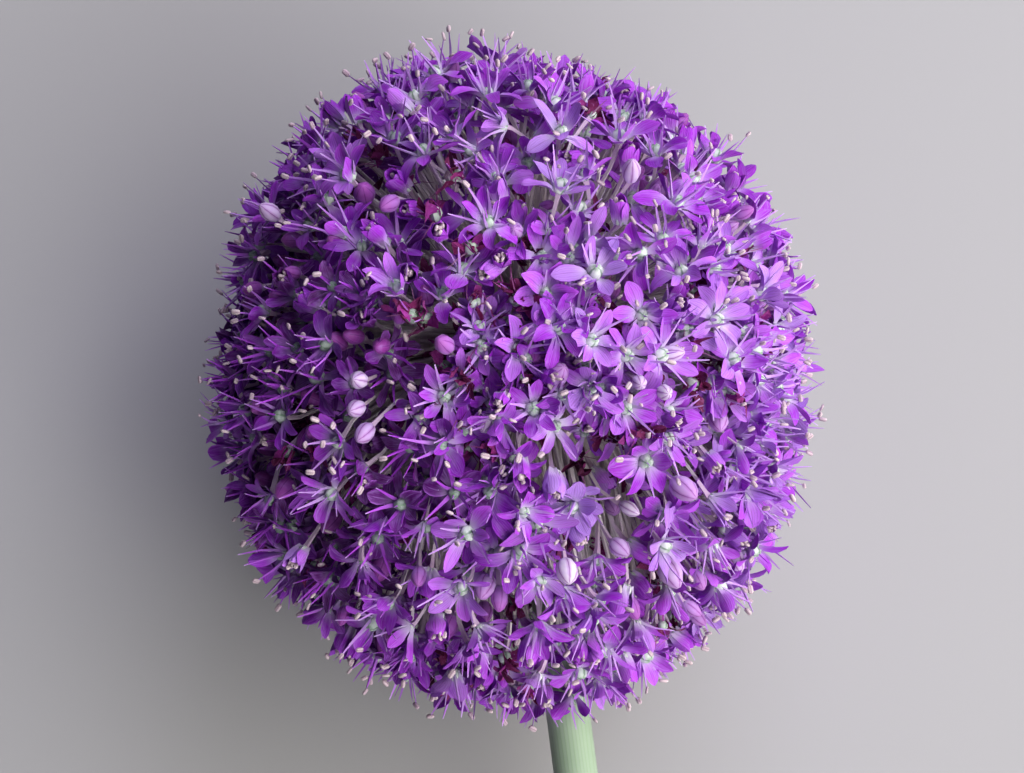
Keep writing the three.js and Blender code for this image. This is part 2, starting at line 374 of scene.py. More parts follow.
def pinch_columns(piece, angles, reach, low, high, amount):
    """Draws in the columns of points at some angles, which leaves seams between lobes."""
    bpy.ops.object.mode_set(mode="EDIT")
    rows = sorted({round(v.co.y, 4) for v in piece.data.vertices if low < v.co.y < high})
    for angle in angles:
        heading = Vector((math.cos(angle), 0, math.sin(angle)))
        for row in rows:

            def in_column(co):
                flat = Vector((co.x, 0, co.z))
                return abs(co.y - row) < 1e-3 and flat.length > 1e-4 and flat.angle(heading) < reach

            select_points(piece, in_column)
            bpy.ops.transform.translate(value=-heading * amount)
    bpy.ops.object.mode_set(mode="OBJECT")


# Copies: each one has its own points in one mesh


def read_all(items, key, width, kind=float):
    """One value of every item as an array, with some numbers for each item."""
    values = np.zeros(len(items) * width, kind)
    items.foreach_get(key, values)
    return values.reshape(-1, width) if width > 1 else values


def prototype_arrays(piece):
    """The modelled piece as arrays: points, corners, faces and map."""
    mesh = piece.data
    points = read_all(mesh.vertices, "co", 3)
    corners = read_all(mesh.loops, "vertex_index", 1, np.int64)
    starts = read_all(mesh.polygons, "loop_start", 1, np.int64)
    totals = read_all(mesh.polygons, "loop_total", 1, np.int64)
    uv = read_all(mesh.uv_layers["Along"].data, "uv", 2)
    return points, corners, starts, totals, uv


def bake_cells(uv, tone):
    """Every tone has its own cell of the second map, OFBake, which copies of one tone share."""
    level = np.rint(tone * (TONE_LEVELS - 1)).astype(int)
    column = level % TONE_COLUMNS
    row = level // TONE_COLUMNS
    inner = CELL_MARGIN + (1 - 2 * CELL_MARGIN) * np.clip(uv, -0.04, 1.04)
    cell = np.stack([column, row], axis=-1)[:, None, :]
    return (cell + inner[None]) / TONE_COLUMNS


def joined_copies(name, prototype, places, tone, material, smooth_angle):
    """One mesh that holds a copy of the prototype for each row of places."""
    points, corners, starts, totals, uv = prototype_arrays(prototype)
    copies = len(places)
    steps = np.arange(copies)[:, None]
    mesh = bpy.data.meshes.new(name)
    mesh.vertices.add(copies * len(points))
    mesh.vertices.foreach_set("co", places.reshape(-1).astype(np.float32))
    mesh.loops.add(copies * len(corners))
    mesh.loops.foreach_set("vertex_index", (corners + steps * len(points)).reshape(-1))
    mesh.polygons.add(copies * len(starts))
    mesh.polygons.foreach_set("loop_start", (starts + steps * len(corners)).reshape(-1))
    mesh.polygons.foreach_set("loop_total", np.tile(totals, copies))
    mesh.update(calc_edges=True)
    along = mesh.uv_layers.new(name="Along")
    along.data.foreach_set("uv", np.tile(uv.reshape(-1), copies))
    baked = mesh.uv_layers.new(name="OFBake")
    baked.data.foreach_set("uv", bake_cells(uv, tone).reshape(-1))
    level = np.rint(tone * (TONE_LEVELS - 1)) / (TONE_LEVELS - 1)
    attribute = mesh.attributes.new("tone", "FLOAT", "POINT")
    attribute.data.foreach_set("value", np.repeat(level, len(points)).astype(np.float32))
    mesh.materials.append(material)
    piece = bpy.data.objects.new(name, mesh)
    bpy.context.scene.collection.objects.link(piece)
    bpy.data.objects.remove(prototype)
    deselect_all()
    bpy.context.view_layer.objects.active = piece
    piece.select_set(True)
    bpy.ops.object.shade_smooth_by_angle(angle=smooth_angle)
    if mesh.validate():
        raise RuntimeError(name + " has broken faces")
    return piece


def finish_piece(piece, replaces=None):
    """Hangs the piece on the flower's body, and hides the imported part that it replaces, if any.
    """
    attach(piece, "root")
    if replaces:
        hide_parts(replaces)


# Where the florets stand


def spread_directions(count, rng):
    """Directions spread evenly over the sphere, each one a little off its place."""
    index = np.arange(count)
    z = 1 - (2 * index + 1) / count
    ring = np.sqrt(1 - z * z)
    angle = index * math.pi * (3 - math.sqrt(5))
    even = np.stack([ring * np.cos(angle), ring * np.sin(angle), z], axis=1)
    spacing = math.sqrt(4 * math.pi / count)
    jittered = even + rng.normal(0, 0.24 * spacing, (count, 3))
    return jittered / np.linalg.norm(jittered, axis=1, keepdims=True)


def soft_lumps(directions, rng, frequency=5.0):
    """A smooth random field over the sphere, from about -1 to 1."""
    waves = 9
    field = np.zeros(len(directions))
    for _ in range(waves):
        wave = rng.normal(0, 1, 3)
        wave *= frequency / np.linalg.norm(wave)
        field += np.cos(directions @ wave + rng.uniform(0, 2 * math.pi))
    return field / math.sqrt(waves / 2)


def envelope_radius(head, directions):
    """From the head's middle to the tepal tips, in each direction."""
    height = directions @ np.array(picture_axes(head)[1])
    along = np.abs(height)
    across = np.sqrt(np.clip(1 - along * along, 0, 1))
    power = np.where(height > 0, head.fullness, head.fullness - 0.28)
    half_length = np.where(height > 0, head.length / 2, head.length / 2 + 0.3 * MM)
    total = (along / half_length) ** power + (across / (head.width / 2)) ** power
    return total ** (-1 / power)


def face_direction(head, right_mm, up_mm):
    """The way from the head's middle to a place on the face that the picture shows."""
    right, up, towards = (np.array(axis) for axis in picture_axes(head))
    x = right_mm * MM / (head.width / 2)
    y = up_mm * MM / (head.length / 2)
    near = math.sqrt(max(1 - x * x - y * y, 0.01))
    shrink = 1 - near * head.width / 2 / CAMERA_DISTANCE
    way = (right * x + up * y) * shrink + towards * near
    return way / np.linalg.norm(way)


def patch_share(head, directions, patch):
    """1 in the middle of a patch of the head's face, falling to 0 at its edge."""
    centre = face_direction(head, patch[0], patch[1])
    turn = np.arccos(np.clip(directions @ centre, -1, 1))
    distance = turn * head.width / 2 / (patch[2] * MM)
    return np.clip(1 - distance * distance, 0, 1)


def turn_frames(normals, spin):
    """A frame for each floret: its third axis is the way the floret faces."""
    steep = np.abs(normals[:, 2:3]) >= 0.9
    helper = np.where(steep, np.array([[1.0, 0, 0]]), np.array([[0, 0, 1.0]]))
    first = np.cross(helper, normals)
    first /= np.linalg.norm(first, axis=1, keepdims=True)
    second = np.cross(normals, first)
    c = np.cos(spin)[:, None]
    s = np.sin(spin)[:, None]
    return np.stack([first * c + second * s, second * c - first * s, normals], axis=2)


def draw_kinds(shares, faded, rng):
    """Which places of a layer hold open florets, half-open ones, buds or withered ones."""
    count = len(faded)
    withered = shares[WITHERED] + 0.40 * faded
    bud = withered + shares[BUD]
    cup = bud + shares[CUP]
    draw = rng.uniform(0, 1, count)
    kinds = np.full(count, OPEN)
    kinds[draw < cup] = CUP
    kinds[draw < bud] = BUD
    kinds[draw < withered] = WITHERED
    return kinds


def layer_places(head, layer, rng):
    """Direction, inset, kind, size and tone of the places in one layer of the head."""
    share, shallow, deep, shares = layer
    directions = spread_directions(round(head.florets * share), rng)
    count = len(directions)
    faded = np.max([patch_share(head, directions, patch) for patch in FADED_PATCHES], axis=0)
    kinds = draw_kinds(shares, faded, rng)
    inset = rng.uniform(shallow, deep, count) * MM
    inset += np.where(kinds == WITHERED, 1.0 * MM, 0.0)
    inset += np.where(kinds == BUD, rng.uniform(-0.5, 2.5, count) * MM, 0.0)
    size = rng.normal(1.0, 0.08, count).clip(0.82, 1.18)
    tone = rng.normal(0.60, 0.16, count)
    return directions, inset, kinds, size, tone


def front_places(head):
    """The places of the florets and buds that stand out on the face of the head."""
    directions = np.array([face_direction(head, x, y) for x, y, _, _, _ in FRONT_FLORETS])
    kinds = np.array([row[2] for row in FRONT_FLORETS])
    size = np.array([row[3] for row in FRONT_FLORETS])
    tone = np.array([row[4] for row in FRONT_FLORETS])
    at_edge = np.array([math.hypot(row[0], row[1]) > 55 for row in FRONT_FLORETS])
    inset = np.where(at_edge, -1.3, -0.6) * MM
    return directions, inset, kinds, size, tone


def crowd_places(head, crowd, rng):
    """Smaller florets, buds and withered ones that fill a part of the face."""
    count, right_mm, up_mm, spread, depths, shares = crowd
    places = rng.normal((right_mm, up_mm), spread, (count, 2)).clip(-45, 58)
    directions = np.array([face_direction(head, x, y) for x, y in places])
    kinds = draw_kinds(shares, np.zeros(count), rng)
    inset = rng.uniform(*depths, count) * MM
    size = rng.normal(0.90, 0.07, count).clip(0.76, 1.05)
    tone = rng.normal(0.62, 0.17, count)
    return directions, inset, kinds, size, tone


def clear_of_front(directions, inset, front):
    """True for places that leave the florets in front their room."""
    nearest = np.max(directions @ front.T, axis=1)
    return (np.arccos(np.clip(nearest, -1, 1)) > FRONT_ROOM) | (inset > HIDDEN_FROM)


def clear_of_stem(head, directions, reach):
    """True for places that don't stand in the stem."""
    along = directions @ np.array(stem_direction(head))
    beside = np.sqrt(np.clip(1 - along * along, 0, 1)) * reach
    return ~((along > 0) & (beside < STEM_ROOM))


def tone_lumps_and_painted_light(head, directions, inset, tone, rng):
    """Painted light and shade that a floret's place adds to its tone, with random lumps."""
    patches = np.array([patch_share(head, directions, patch) for patch in SPARSE_PATCHES_WITH_PAINTED_LIGHT])
    # lift: each thin patch's painted light, or painted shade where its value is below nought
    lift = np.array([patch[3] for patch in SPARSE_PATCHES_WITH_PAINTED_LIGHT]) @ patches
    dark = np.max([patch_share(head, directions, patch) for patch in PAINTED_SHADE_PATCHES], axis=0)
    rightness = directions @ np.array(picture_axes(head)[0])
    # Random lumps, painted shade on the left and in shade patches, painted light on the right
    drift = 0.09 * soft_lumps(directions, rng, frequency=3.0) + lift - 0.45 * dark
    drift += 0.10 * rightness - 0.26 * np.clip(-rightness, 0, 1)
    # Painted shade deep in the head, weaker on the right
    shade = 14.0 * inset * (1 - 0.9 * rightness)
    # Painted soft light: on the right, tones are drawn towards one middle value
    painted_soft_light = 0.45 * np.clip(rightness, 0, 1)
    return drift - shade + painted_soft_light * (0.58 - tone)


def floret_reach(head, directions, inset, sparse, rng):
    """How far from the head's middle each floret sits."""
    right, up, _ = (np.array(axis) for axis in picture_axes(head))
    bumpy = 1 + 0.020 * soft_lumps(directions, rng)
    skew = 1 - 0.12 * np.clip(directions @ right, 0, 1) ** 3 * (directions @ up)
    below_tips = (sparse * SPARSE_SINK_MM + TIP_RISE_MM) * MM
    return envelope_radius(head, directions) * bumpy * skew - inset - below_tips


def floret_facing(head, directions, placed, rng):
    """The way each floret faces: outwards, askew, and drooping near the stem."""
    stem = np.array(stem_direction(head))
    towards = np.array(picture_axes(head)[2])
    tilt = rng.normal(0, 1, directions.shape) * np.where(placed, 0.24, 0.40)[:, None]
    droop = np.clip(directions @ stem + 0.15, 0, 1)[:, None] * stem * 0.38
    normals = directions + tilt + droop + placed[:, None] * towards * 0.25
    return normals / np.linalg.norm(normals, axis=1, keepdims=True)


def floret_centres(head, directions, normals, reach):
    """Middle of each floret, drawn in where it would reach into the surface."""
    right, up, _ = (np.array(axis) for axis in picture_axes(head))
    middle = np.array(head_middle(head)) + right * head.offset
    centre = middle + directions * reach[:, None]
    centre -= right * (head.lean * (directions @ up) * reach)[:, None]
    edge_on = np.sqrt(np.clip(1 - normals[:, 2] ** 2, 0, 1))
    room = FLAT_FLORET_ROOM + EDGE_FLORET_ROOM * edge_on
    too_low = np.clip(room - centre[:, 2], 0, None)
    return centre - directions * (too_low / np.maximum(-directions[:, 2], 0.3))[:, None]


def floret_places(head):
    """Place, frame, kind, size and tone of everything that sits on a pedicel."""
    rng = np.random.default_rng(head.seed)
    front = front_places(head)
    layers = [layer_places(head, layer, rng) for layer in LAYERS]
    middle_crowd = crowd_places(head, MIDDLE_CROWD, rng)
    right_crowd = crowd_places(head, RIGHT_CROWD, np.random.default_rng(head.seed + 20))
    parts = [front, middle_crowd, *layers, right_crowd]
    directions, inset, kinds, size, tone = (np.concatenate(column) for column in zip(*parts))
    count = len(directions)
    placed = np.arange(count) < len(front[0])
    patches = [patch_share(head, directions, patch) for patch in SPARSE_PATCHES_WITH_PAINTED_LIGHT]
    sparse = np.where(placed, 0, np.max(patches, axis=0))
    # Florets that aren't listed get random lumps and painted light and shade on their tone
    tone = tone + np.where(placed, 0, tone_lumps_and_painted_light(head, directions, inset, tone, rng))
    reach = floret_reach(head, directions, inset, sparse, rng)
    kept = placed | clear_of_front(directions, inset, front[0])
    kept &= clear_of_stem(head, directions, reach)
    kept &= placed | (rng.uniform(0, 1, count) > SPARSE_LOSS * sparse)
    normals = floret_facing(head, directions, placed, rng)
    spin = rng.uniform(0, 2 * math.pi, count)
    centre = floret_centres(head, directions, normals, reach)
    return {
        "direction": directions[kept],
        "centre": centre[kept],
        "turn": turn_frames(normals, spin)[kept],
        "kind": kinds[kept],
        "size": size[kept],
        "tone": tone.clip(0, 1)[kept],
        "deep": (inset > DEEP_FROM)[kept],
    }


def of_kind(florets, *kinds, deep=None):
    """Only the florets of some kinds, and only deep or only outer ones if that is given."""
    chosen = np.isin(florets["kind"], kinds)
    if deep is not None:
        chosen &= florets["deep"] == deep
    return {key: value[chosen] for key, value in florets.items()}


def press_on_floor(places):
    """Bends what would reach into the surface along it, and eases far tips back."""
    soft = 1.6 * MM
    height = places[..., 2]
    pressed = soft * np.exp(np.minimum(height - soft, 0) / soft)
    places[..., 2] = np.where(height < soft, pressed, height)
    spare = 3.0 * MM
    for axis, low, high in ((0, CAD_BOX[0][0], CAD_BOX[1][0]), (2, None, CAD_BOX[1][2])):
        value = places[..., axis]
        over = np.maximum(value - high, 0)
        value = value - over + spare * (1 - np.exp(-over / spare))
        if low is not None:
            under = np.maximum(low - value, 0)
            value = value + under - spare * (1 - np.exp(-under / spare))
        places[..., axis] = value
    return places


# Bending a blade or thread outwards from the floret's middle


def bends(count, **values):
    """The bends of some blades or threads, with nought for each value that isn't given."""
    keys = ("length", "width", "thickness", "sway", "wave", "fold", "phase")
    keys += ("tip", "twist", "radius", "height", "rise", "curl", "heading")
    return {key: np.broadcast_to(values.get(key, 0.0), count) for key in keys}


def bent_line(shape, share):
    """Radius, height and slope along a line that starts at a slope and curls evenly."""
    curl = np.where(np.abs(shape["curl"]) < 1e-3, 1e-3, shape["curl"])
    slope = shape["rise"] + curl * share
    rate = curl / shape["length"]
    radius = shape["radius"] + (np.sin(slope) - np.sin(shape["rise"])) / rate
    height = shape["height"] - (np.cos(slope) - np.cos(shape["rise"])) / rate
    return radius, height, slope


def bend_out(points, shape):
    """Places of each copy's points in its floret's frame."""
    share = points[None, :, 1]
    length = shape["length"][:, None]
    across = points[None, :, 0] * shape["width"][:, None]
    across = across + shape["sway"][:, None] * share**2 * length
    proud = points[None, :, 2] * shape["thickness"][:, None]
    wave = shape["wave"][:, None] * np.sin(share * 5.5 + shape["phase"][:, None])
    proud = proud + wave * points[None, :, 0] * 2
    proud = proud + shape["fold"][:, None] * np.abs(points[None, :, 0]) * 2
    proud = proud + shape["tip"][:, None] * share**3 * length
    twist = shape["twist"][:, None] * share
    turned_across = across * np.cos(twist) - proud * np.sin(twist)
    turned_proud = across * np.sin(twist) + proud * np.cos(twist)
    column = {key: value[:, None] for key, value in shape.items()}
    radius, height, slope = bent_line(column, share)
    radius = radius - turned_proud * np.sin(slope)
    height = height + turned_proud * np.cos(slope)
    heading = shape["heading"][:, None]
    x = radius * np.cos(heading) - turned_across * np.sin(heading)
    y = radius * np.sin(heading) + turned_across * np.cos(heading)
    return np.stack([x, y, height], axis=-1)


def on_florets(local, centres, turns):
    """Local places of each copy carried to its floret."""
    return np.einsum("nij,nkj->nki", turns, local) + centres[:, None, :]


def per_floret(values, parts):
    """Repeats each floret's value for each of its parts."""
    return np.repeat(values, parts, axis=0)


# Shaders


def new_material(name):
    """A material with its main shader and output, and nothing else."""
    material = bpy.data.materials.new(name)
    material.use_nodes = True
    shader = material.node_tree.nodes["Principled BSDF"]
    return material, material.node_tree, shader


def add_node(tree, kind, **values):
    """A shader node with its settings."""
    node = tree.nodes.new(kind)
    for key, value in values.items():
        setattr(node, key, value)
    return node


def feed(tree, socket, value):
    """Gives a socket a link from another one, or a fixed value."""
    if isinstance(value, bpy.types.NodeSocket):
        tree.links.new(value, socket)
    else:
        socket.default_value = value


def math_node(tree, operation, *values):
    """One sum on values or sockets."""
    node = add_node(tree, "ShaderNodeMath", operation=operation)
    for socket, value in zip(node.inputs, values):
        feed(tree, socket, value)
    return node.outputs[0]


def mix_colours(tree, share, first, second):
    """A mix of two colours or sockets by a share."""
    node = add_node(tree, "ShaderNodeMix", data_type="RGBA")
    for place, value in ((0, share), (6, first), (7, second)):
        feed(tree, node.inputs[place], value)
    return node.outputs[2]


def map_range(tree, value, low, high, to_low=0.0, to_high=1.0):
    """A value carried smoothly from one range to another."""
    node = add_node(tree, "ShaderNodeMapRange", interpolation_type="SMOOTHSTEP")
    tree.links.new(value, node.inputs["Value"])
    node.inputs["From Min"].default_value = low
    node.inputs["From Max"].default_value = high
    node.inputs["To Min"].default_value = to_low
    node.inputs["To Max"].default_value = to_high
    return node.outputs["Result"]


def wash(tree, below, colour, value, low, high, at_low=0.0, at_high=1.0):
    """A colour laid over another one by a share that follows a value."""
    return mix_colours(tree, map_range(tree, value, low, high, at_low, at_high), below, colour)


def read_along(tree):
    """Across and along values of the piece's own map."""
    uv = add_node(tree, "ShaderNodeUVMap", uv_map="Along")
    parts = add_node(tree, "ShaderNodeSeparateXYZ")
    tree.links.new(uv.outputs["UV"], parts.inputs[0])
    return uv.outputs["UV"], parts.outputs["X"], parts.outputs["Y"]


def read_tone(tree):
    """The copy's tone, from 0 to 1: random, and on florets also their painted light and shade."""
    node = add_node(tree, "ShaderNodeAttribute", attribute_name="tone", attribute_type="GEOMETRY")
    return node.outputs["Fac"]


# Effects that several materials use: each is one node group


def shared_group(name, inputs, outputs, build):
    """The node group of that name, which is built when it is first needed."""
    if name in bpy.data.node_groups:
        return bpy.data.node_groups[name]
    group = bpy.data.node_groups.new(name, "ShaderNodeTree")
    for label in inputs:
        kind = "NodeSocketVector" if label == "Vector" else "NodeSocketFloat"
        group.interface.new_socket(name=label, in_out="INPUT", socket_type=kind)
    for label in outputs:
        group.interface.new_socket(name=label, in_out="OUTPUT", socket_type="NodeSocketFloat")
    entry = group.nodes.new("NodeGroupInput")
    leave = group.nodes.new("NodeGroupOutput")
    build(group, entry.outputs, leave.inputs)
    return group


def place_group(tree, group, **values):
    """Puts a node group in a material and feeds its inputs with values or sockets."""
    node = add_node(tree, "ShaderNodeGroup", node_tree=group)
    for label, value in values.items():
        feed(tree, node.inputs[label], value)
    return node.outputs


def build_veins(group, given, result):
    """Wavy lines along a tissue: a mask of them, and a height that sinks them in."""
    parts = add_node(group, "ShaderNodeSeparateXYZ")
    group.links.new(given["Vector"], parts.inputs[0])
    noise = add_node(group, "ShaderNodeTexNoise", noise_dimensions="4D")
    noise.inputs["Scale"].default_value = 3.0
    noise.inputs["Detail"].default_value = 2.0
    group.links.new(given["Vector"], noise.inputs["Vector"])
    group.links.new(math_node(group, "MULTIPLY", given["Tone"], 37.0), noise.inputs["W"])
    sway = math_node(group, "SUBTRACT", noise.outputs["Fac"], 0.5)
    across = math_node(group, "MULTIPLY_ADD", sway, 0.16, parts.outputs["X"])
    veins = math_node(group, "MULTIPLY", across, given["Count"])
    ripple = math_node(group, "COSINE", math_node(group, "MULTIPLY", veins, 2 * math.pi))
    sharp = math_node(group, "POWER", math_node(group, "MULTIPLY_ADD", ripple, 0.5, 0.5), 3.0)
    group.links.new(sharp, result["Mask"])
    group.links.new(math_node(group, "MULTIPLY", sharp, -1.0), result["Height"])


def tissue_veins(tree, vector, tone, count):
    """Mask and height of the fine veins that run along a tissue."""
    inputs = ("Vector", "Tone", "Count")
    group = shared_group("tissue_veins", inputs, ("Mask", "Height"), build_veins)
    veins = place_group(tree, group, Vector=vector, Tone=tone, Count=count)
    return veins["Mask"], veins["Height"]


def build_cloud(group, given, result):
    """Noise that the tone moves to another place."""
    noise = add_node(group, "ShaderNodeTexNoise", noise_dimensions="4D")
    for label in ("Vector", "Scale", "Detail"):
        group.links.new(given[label], noise.inputs[label])
    group.links.new(math_node(group, "MULTIPLY", given["Tone"], 23.0), noise.inputs["W"])
    group.links.new(noise.outputs["Fac"], result["Cloud"])


def tissue_cloud(tree, vector, tone, scale, detail=2.0):
    """Cloudy variation inside a tissue, different for each tone."""
    inputs = ("Vector", "Tone", "Scale", "Detail")
    group = shared_group("tissue_cloud", inputs, ("Cloud",), build_cloud)
    placed = place_group(tree, group, Vector=vector, Tone=tone, Scale=scale, Detail=detail)
    return placed["Cloud"]


def build_ripple(group, given, result):
    """A cosine round a piece, with its tops on the columns of points."""
    from_first = math_node(group, "SUBTRACT", given["Across"], 0.25)
    columns = math_node(group, "MULTIPLY", from_first, given["Count"])
    ripple = math_node(group, "COSINE", math_node(group, "MULTIPLY", columns, 2 * math.pi))
    group.links.new(ripple, result["Ripple"])


def column_ripple(tree, across, count):
    """1 on each of the columns of points that run along a piece, and -1 between them."""
    group = shared_group("column_ripple", ("Across", "Count"), ("Ripple",), build_ripple)
    return place_group(tree, group, Across=across, Count=count)["Ripple"]


# Materials


def bump_into(tree, shader, height, strength, distance=0.1 * MM):
    """A height that shows as relief on the shader."""
    node = add_node(tree, "ShaderNodeBump")
    node.inputs["Strength"].default_value = strength
    node.inputs["Distance"].default_value = distance
    tree.links.new(height, node.inputs["Height"])
    tree.links.new(node.outputs["Normal"], shader.inputs["Normal"])


def satin_finish(tree, shader, colour, roughness):
    """A colour and a satin finish with hardly any gloss, as petals and stalks have."""
    tree.links.new(colour, shader.inputs["Base Color"])
    shader.inputs["Roughness"].default_value = roughness
    shader.inputs["Specular IOR Level"].default_value = 0.18


def object_texture(tree, kind, scale):
    """A texture in the place of the piece itself."""
    place = add_node(tree, "ShaderNodeTexCoord")
    node = add_node(tree, kind)
    node.inputs["Scale"].default_value = scale
    tree.links.new(place.outputs["Object"], node.inputs["Vector"])
    return node


def painted_sheen_streaks(tree, vector, tone):
    """Painted satin sheen: lighter streaks that run along a petal."""
    stretch = add_node(tree, "ShaderNodeMapping")
    stretch.inputs["Scale"].default_value = (6.0, 0.9, 1.0)
    tree.links.new(vector, stretch.inputs["Vector"])
    return tissue_cloud(tree, stretch.outputs["Vector"], tone, 1.8, 3.0)


def tone_ramp(tree, tone, stops):
    """A colour picked by the tone from a row of stops."""
    ramp = add_node(tree, "ShaderNodeValToRGB")
    elements = ramp.color_ramp.elements
    while len(elements) > 1:
        elements.remove(elements[-1])
    elements[0].position = stops[0][0]
    elements[0].color = stops[0][1]
    for place, colour in stops[1:]:
        elements.new(place).color = colour
    tree.links.new(tone, ramp.inputs["Fac"])
    return ramp.outputs["Color"]


def tepal_material(colours):
    """Lilac blade with a darker midrib and veins, and a pale claw."""
    material, tree, shader = new_material("tepal_lilac")
    vector, across, along = read_along(tree)
    tone = read_tone(tree)
    # The dark end of this ramp is what the painted shade in the tone reaches
    base = tone_ramp(
        tree,
        tone,
        [
            (0.00, colours.tepal_deep),
            (0.16, (0.124, 0.006, 0.214, 1)),
            (0.30, (0.188, 0.010, 0.350, 1)),
            (0.44, (0.318, 0.019, 0.570, 1)),
            (0.56, colours.tepal_middle),
            (0.70, (0.440, 0.070, 0.690, 1)),
            (0.84, (0.462, 0.146, 0.712, 1)),
            (1.00, colours.tepal_light),
        ],
    )
    cloud = tissue_cloud(tree, vector, tone, 2.6)
    lighter = wash(tree, base, colours.tepal_light, cloud, 0.40, 0.75, 0.0, 0.28)
    veins, relief = tissue_veins(tree, vector, tone, 8.0)
    vein = math_node(tree, "MULTIPLY", veins, 0.24)
    veined = mix_colours(tree, vein, lighter, colours.tepal_deep)
    # Painted sheen: lighter satin streaks along the blade
    streaks = painted_sheen_streaks(tree, vector, tone)
    streaked = wash(tree, veined, (0.525, 0.29, 0.79, 1), streaks, 0.46, 0.72, 0.0, 0.32)
    off_middle = math_node(tree, "ABSOLUTE", math_node(tree, "SUBTRACT", across, 0.5))
    rib = map_range(tree, off_middle, 0.015, 0.09, 0.36, 0.0)
    midrib = math_node(tree, "MULTIPLY", rib, cloud)
    ribbed = mix_colours(tree, midrib, streaked, colours.tepal_deep)
    edged = wash(tree, ribbed, colours.tepal_middle, off_middle, 0.36, 0.5, 0.0, 0.35)
    # Pale claw and blush fade with the tone, so they also carry its painted shade
    paleness = map_range(tree, tone, 0.1, 0.7, 0.30, 0.96)
    lower_half = map_range(tree, along, 0.22, 0.62, 0.72, 0.0)
    blush = math_node(tree, "MULTIPLY", lower_half, paleness)
    blushed = mix_colours(tree, blush, edged, (0.575, 0.37, 0.76, 1))
    foot = map_range(tree, along, 0.08, 0.40, 1.0, 0.0)
    claw = math_node(tree, "MULTIPLY", foot, paleness)
    clawed = mix_colours(tree, claw, blushed, colours.claw)
    satin_finish(tree, shader, clawed, 0.50)
    bump_into(tree, shader, relief, 0.35)
    return material


def filament_material(colours):
    """Thread that is whitish at its broad base and purple above."""
    material, tree, shader = new_material("filament_lilac")
    vector, _, along = read_along(tree)
    tone = read_tone(tree)
    # The pale base fades with the tone, so it also carries its painted light and shade
    paleness = map_range(tree, tone, 0.10, 0.70, 0.12, 1.0)
    upper = mix_colours(tree, paleness, colours.tepal_middle, (0.54, 0.28, 0.75, 1))
    foot = map_range(tree, along, 0.05, 0.55, 1.0, 0.0)
    base = math_node(tree, "MULTIPLY", foot, paleness)
    threads = mix_colours(tree, base, upper, colours.claw)
    tips = wash(tree, threads, colours.claw, along, 0.82, 1.0, 0.0, 0.55)
    cloud = tissue_cloud(tree, vector, tone, 4.0)
    mottled = wash(tree, tips, colours.tepal_deep, cloud, 0.4, 0.8, 0.0, 0.3)
    satin_finish(tree, shader, mottled, 0.40)
    bump_into(tree, shader, cloud, 0.2)
    return material


def anther_material(colours):
    """Powdery cream with a greyish pink cast and a dark seam."""
    material, tree, shader = new_material("anther_cream")
    vector, across, _ = read_along(tree)
    tone = read_tone(tree)
    base = wash(tree, colours.anther, (0.44, 0.32, 0.40, 1), tone, 0.2, 1.0, 0.75, 0.0)
    powder = tissue_cloud(tree, vector, tone, 14.0, 4.0)
    dusty = wash(tree, base, (0.76, 0.68, 0.68, 1), powder, 0.4, 0.7, 0.0, 0.5)
    ripple = column_ripple(tree, across, 2.0)
    seamed = wash(tree, dusty, (0.20, 0.09, 0.16, 1), ripple, 0.70, 1.0, 0.0, 0.5)
    satin_finish(tree, shader, seamed, 0.75)
    bump_into(tree, shader, powder, 0.5)
    return material


def ovary_material(colours):
    """Pale green lobes with darker seams."""
    material, tree, shader = new_material("ovary_green")
    vector, across, along = read_along(tree)
    tone = read_tone(tree)
    # Dim ovaries of low tone: partly older ones, partly the painted shade in their tone
    dim = (0.26, 0.32, 0.29, 1)
    pale = (0.68, 0.74, 0.68, 1)
    base = tone_ramp(tree, tone, [(0.1, dim), (0.5, colours.ovary), (1.0, pale)])
    ripple = column_ripple(tree, across, 3.0)
    seamed = wash(tree, base, (0.16, 0.28, 0.17, 1), ripple, 0.70, 1.0, 0.0, 0.85)
    crowned = wash(tree, seamed, (0.16, 0.28, 0.16, 1), along, 0.86, 1.0, 0.0, 0.6)
    grain = tissue_cloud(tree, vector, tone, 9.0, 3.0)
    mottled = wash(tree, crowned, (0.70, 0.74, 0.70, 1), grain, 0.45, 0.75, 0.0, 0.35)
    satin_finish(tree, shader, mottled, 0.40)
    bump_into(tree, shader, grain, 0.25)
    return material


def bud_material(colours):
    """Closed bud: lilac, from purple to nearly white, with darker seams."""
    material, tree, shader = new_material("bud_lilac")
    vector, across, along = read_along(tree)
    tone = read_tone(tree)
    body = tone_ramp(
        tree,
        tone,
        [
            (0.0, (0.24, 0.030, 0.28, 1)),
            (0.3, (0.34, 0.080, 0.44, 1)),
            (0.6, (0.44, 0.190, 0.58, 1)),
            (0.8, colours.bud),
            (1.0, (0.70, 0.610, 0.76, 1)),
        ],
    )
    by_tone = map_range(tree, tone, 0.5, 0.95, 0.6, 0.12)
    pink = math_node(tree, "MULTIPLY", map_range(tree, along, 0.40, 1.0), by_tone)
    warm = mix_colours(tree, pink, body, (0.34, 0.060, 0.34, 1))
    ripple = column_ripple(tree, across, 6.0)
    flushed = wash(tree, warm, (0.36, 0.080, 0.42, 1), ripple, -0.2, 0.9, 0.0, 0.45)
    seamed = wash(tree, flushed, colours.tepal_deep, ripple, 0.86, 1.0, 0.0, 0.6)
    footed = wash(tree, seamed, colours.claw, along, 0.02, 0.22, 0.7, 0.0)
    cloud = tissue_cloud(tree, vector, tone, 5.0)
    mottled = wash(tree, footed, colours.tepal_light, cloud, 0.4, 0.8, 0.0, 0.3)
    satin_finish(tree, shader, mottled, 0.42)
    shader.inputs["Sheen Weight"].default_value = 0.1
    shader.inputs["Sheen Roughness"].default_value = 0.35
    bump_into(tree, shader, cloud, 0.2)
    return material


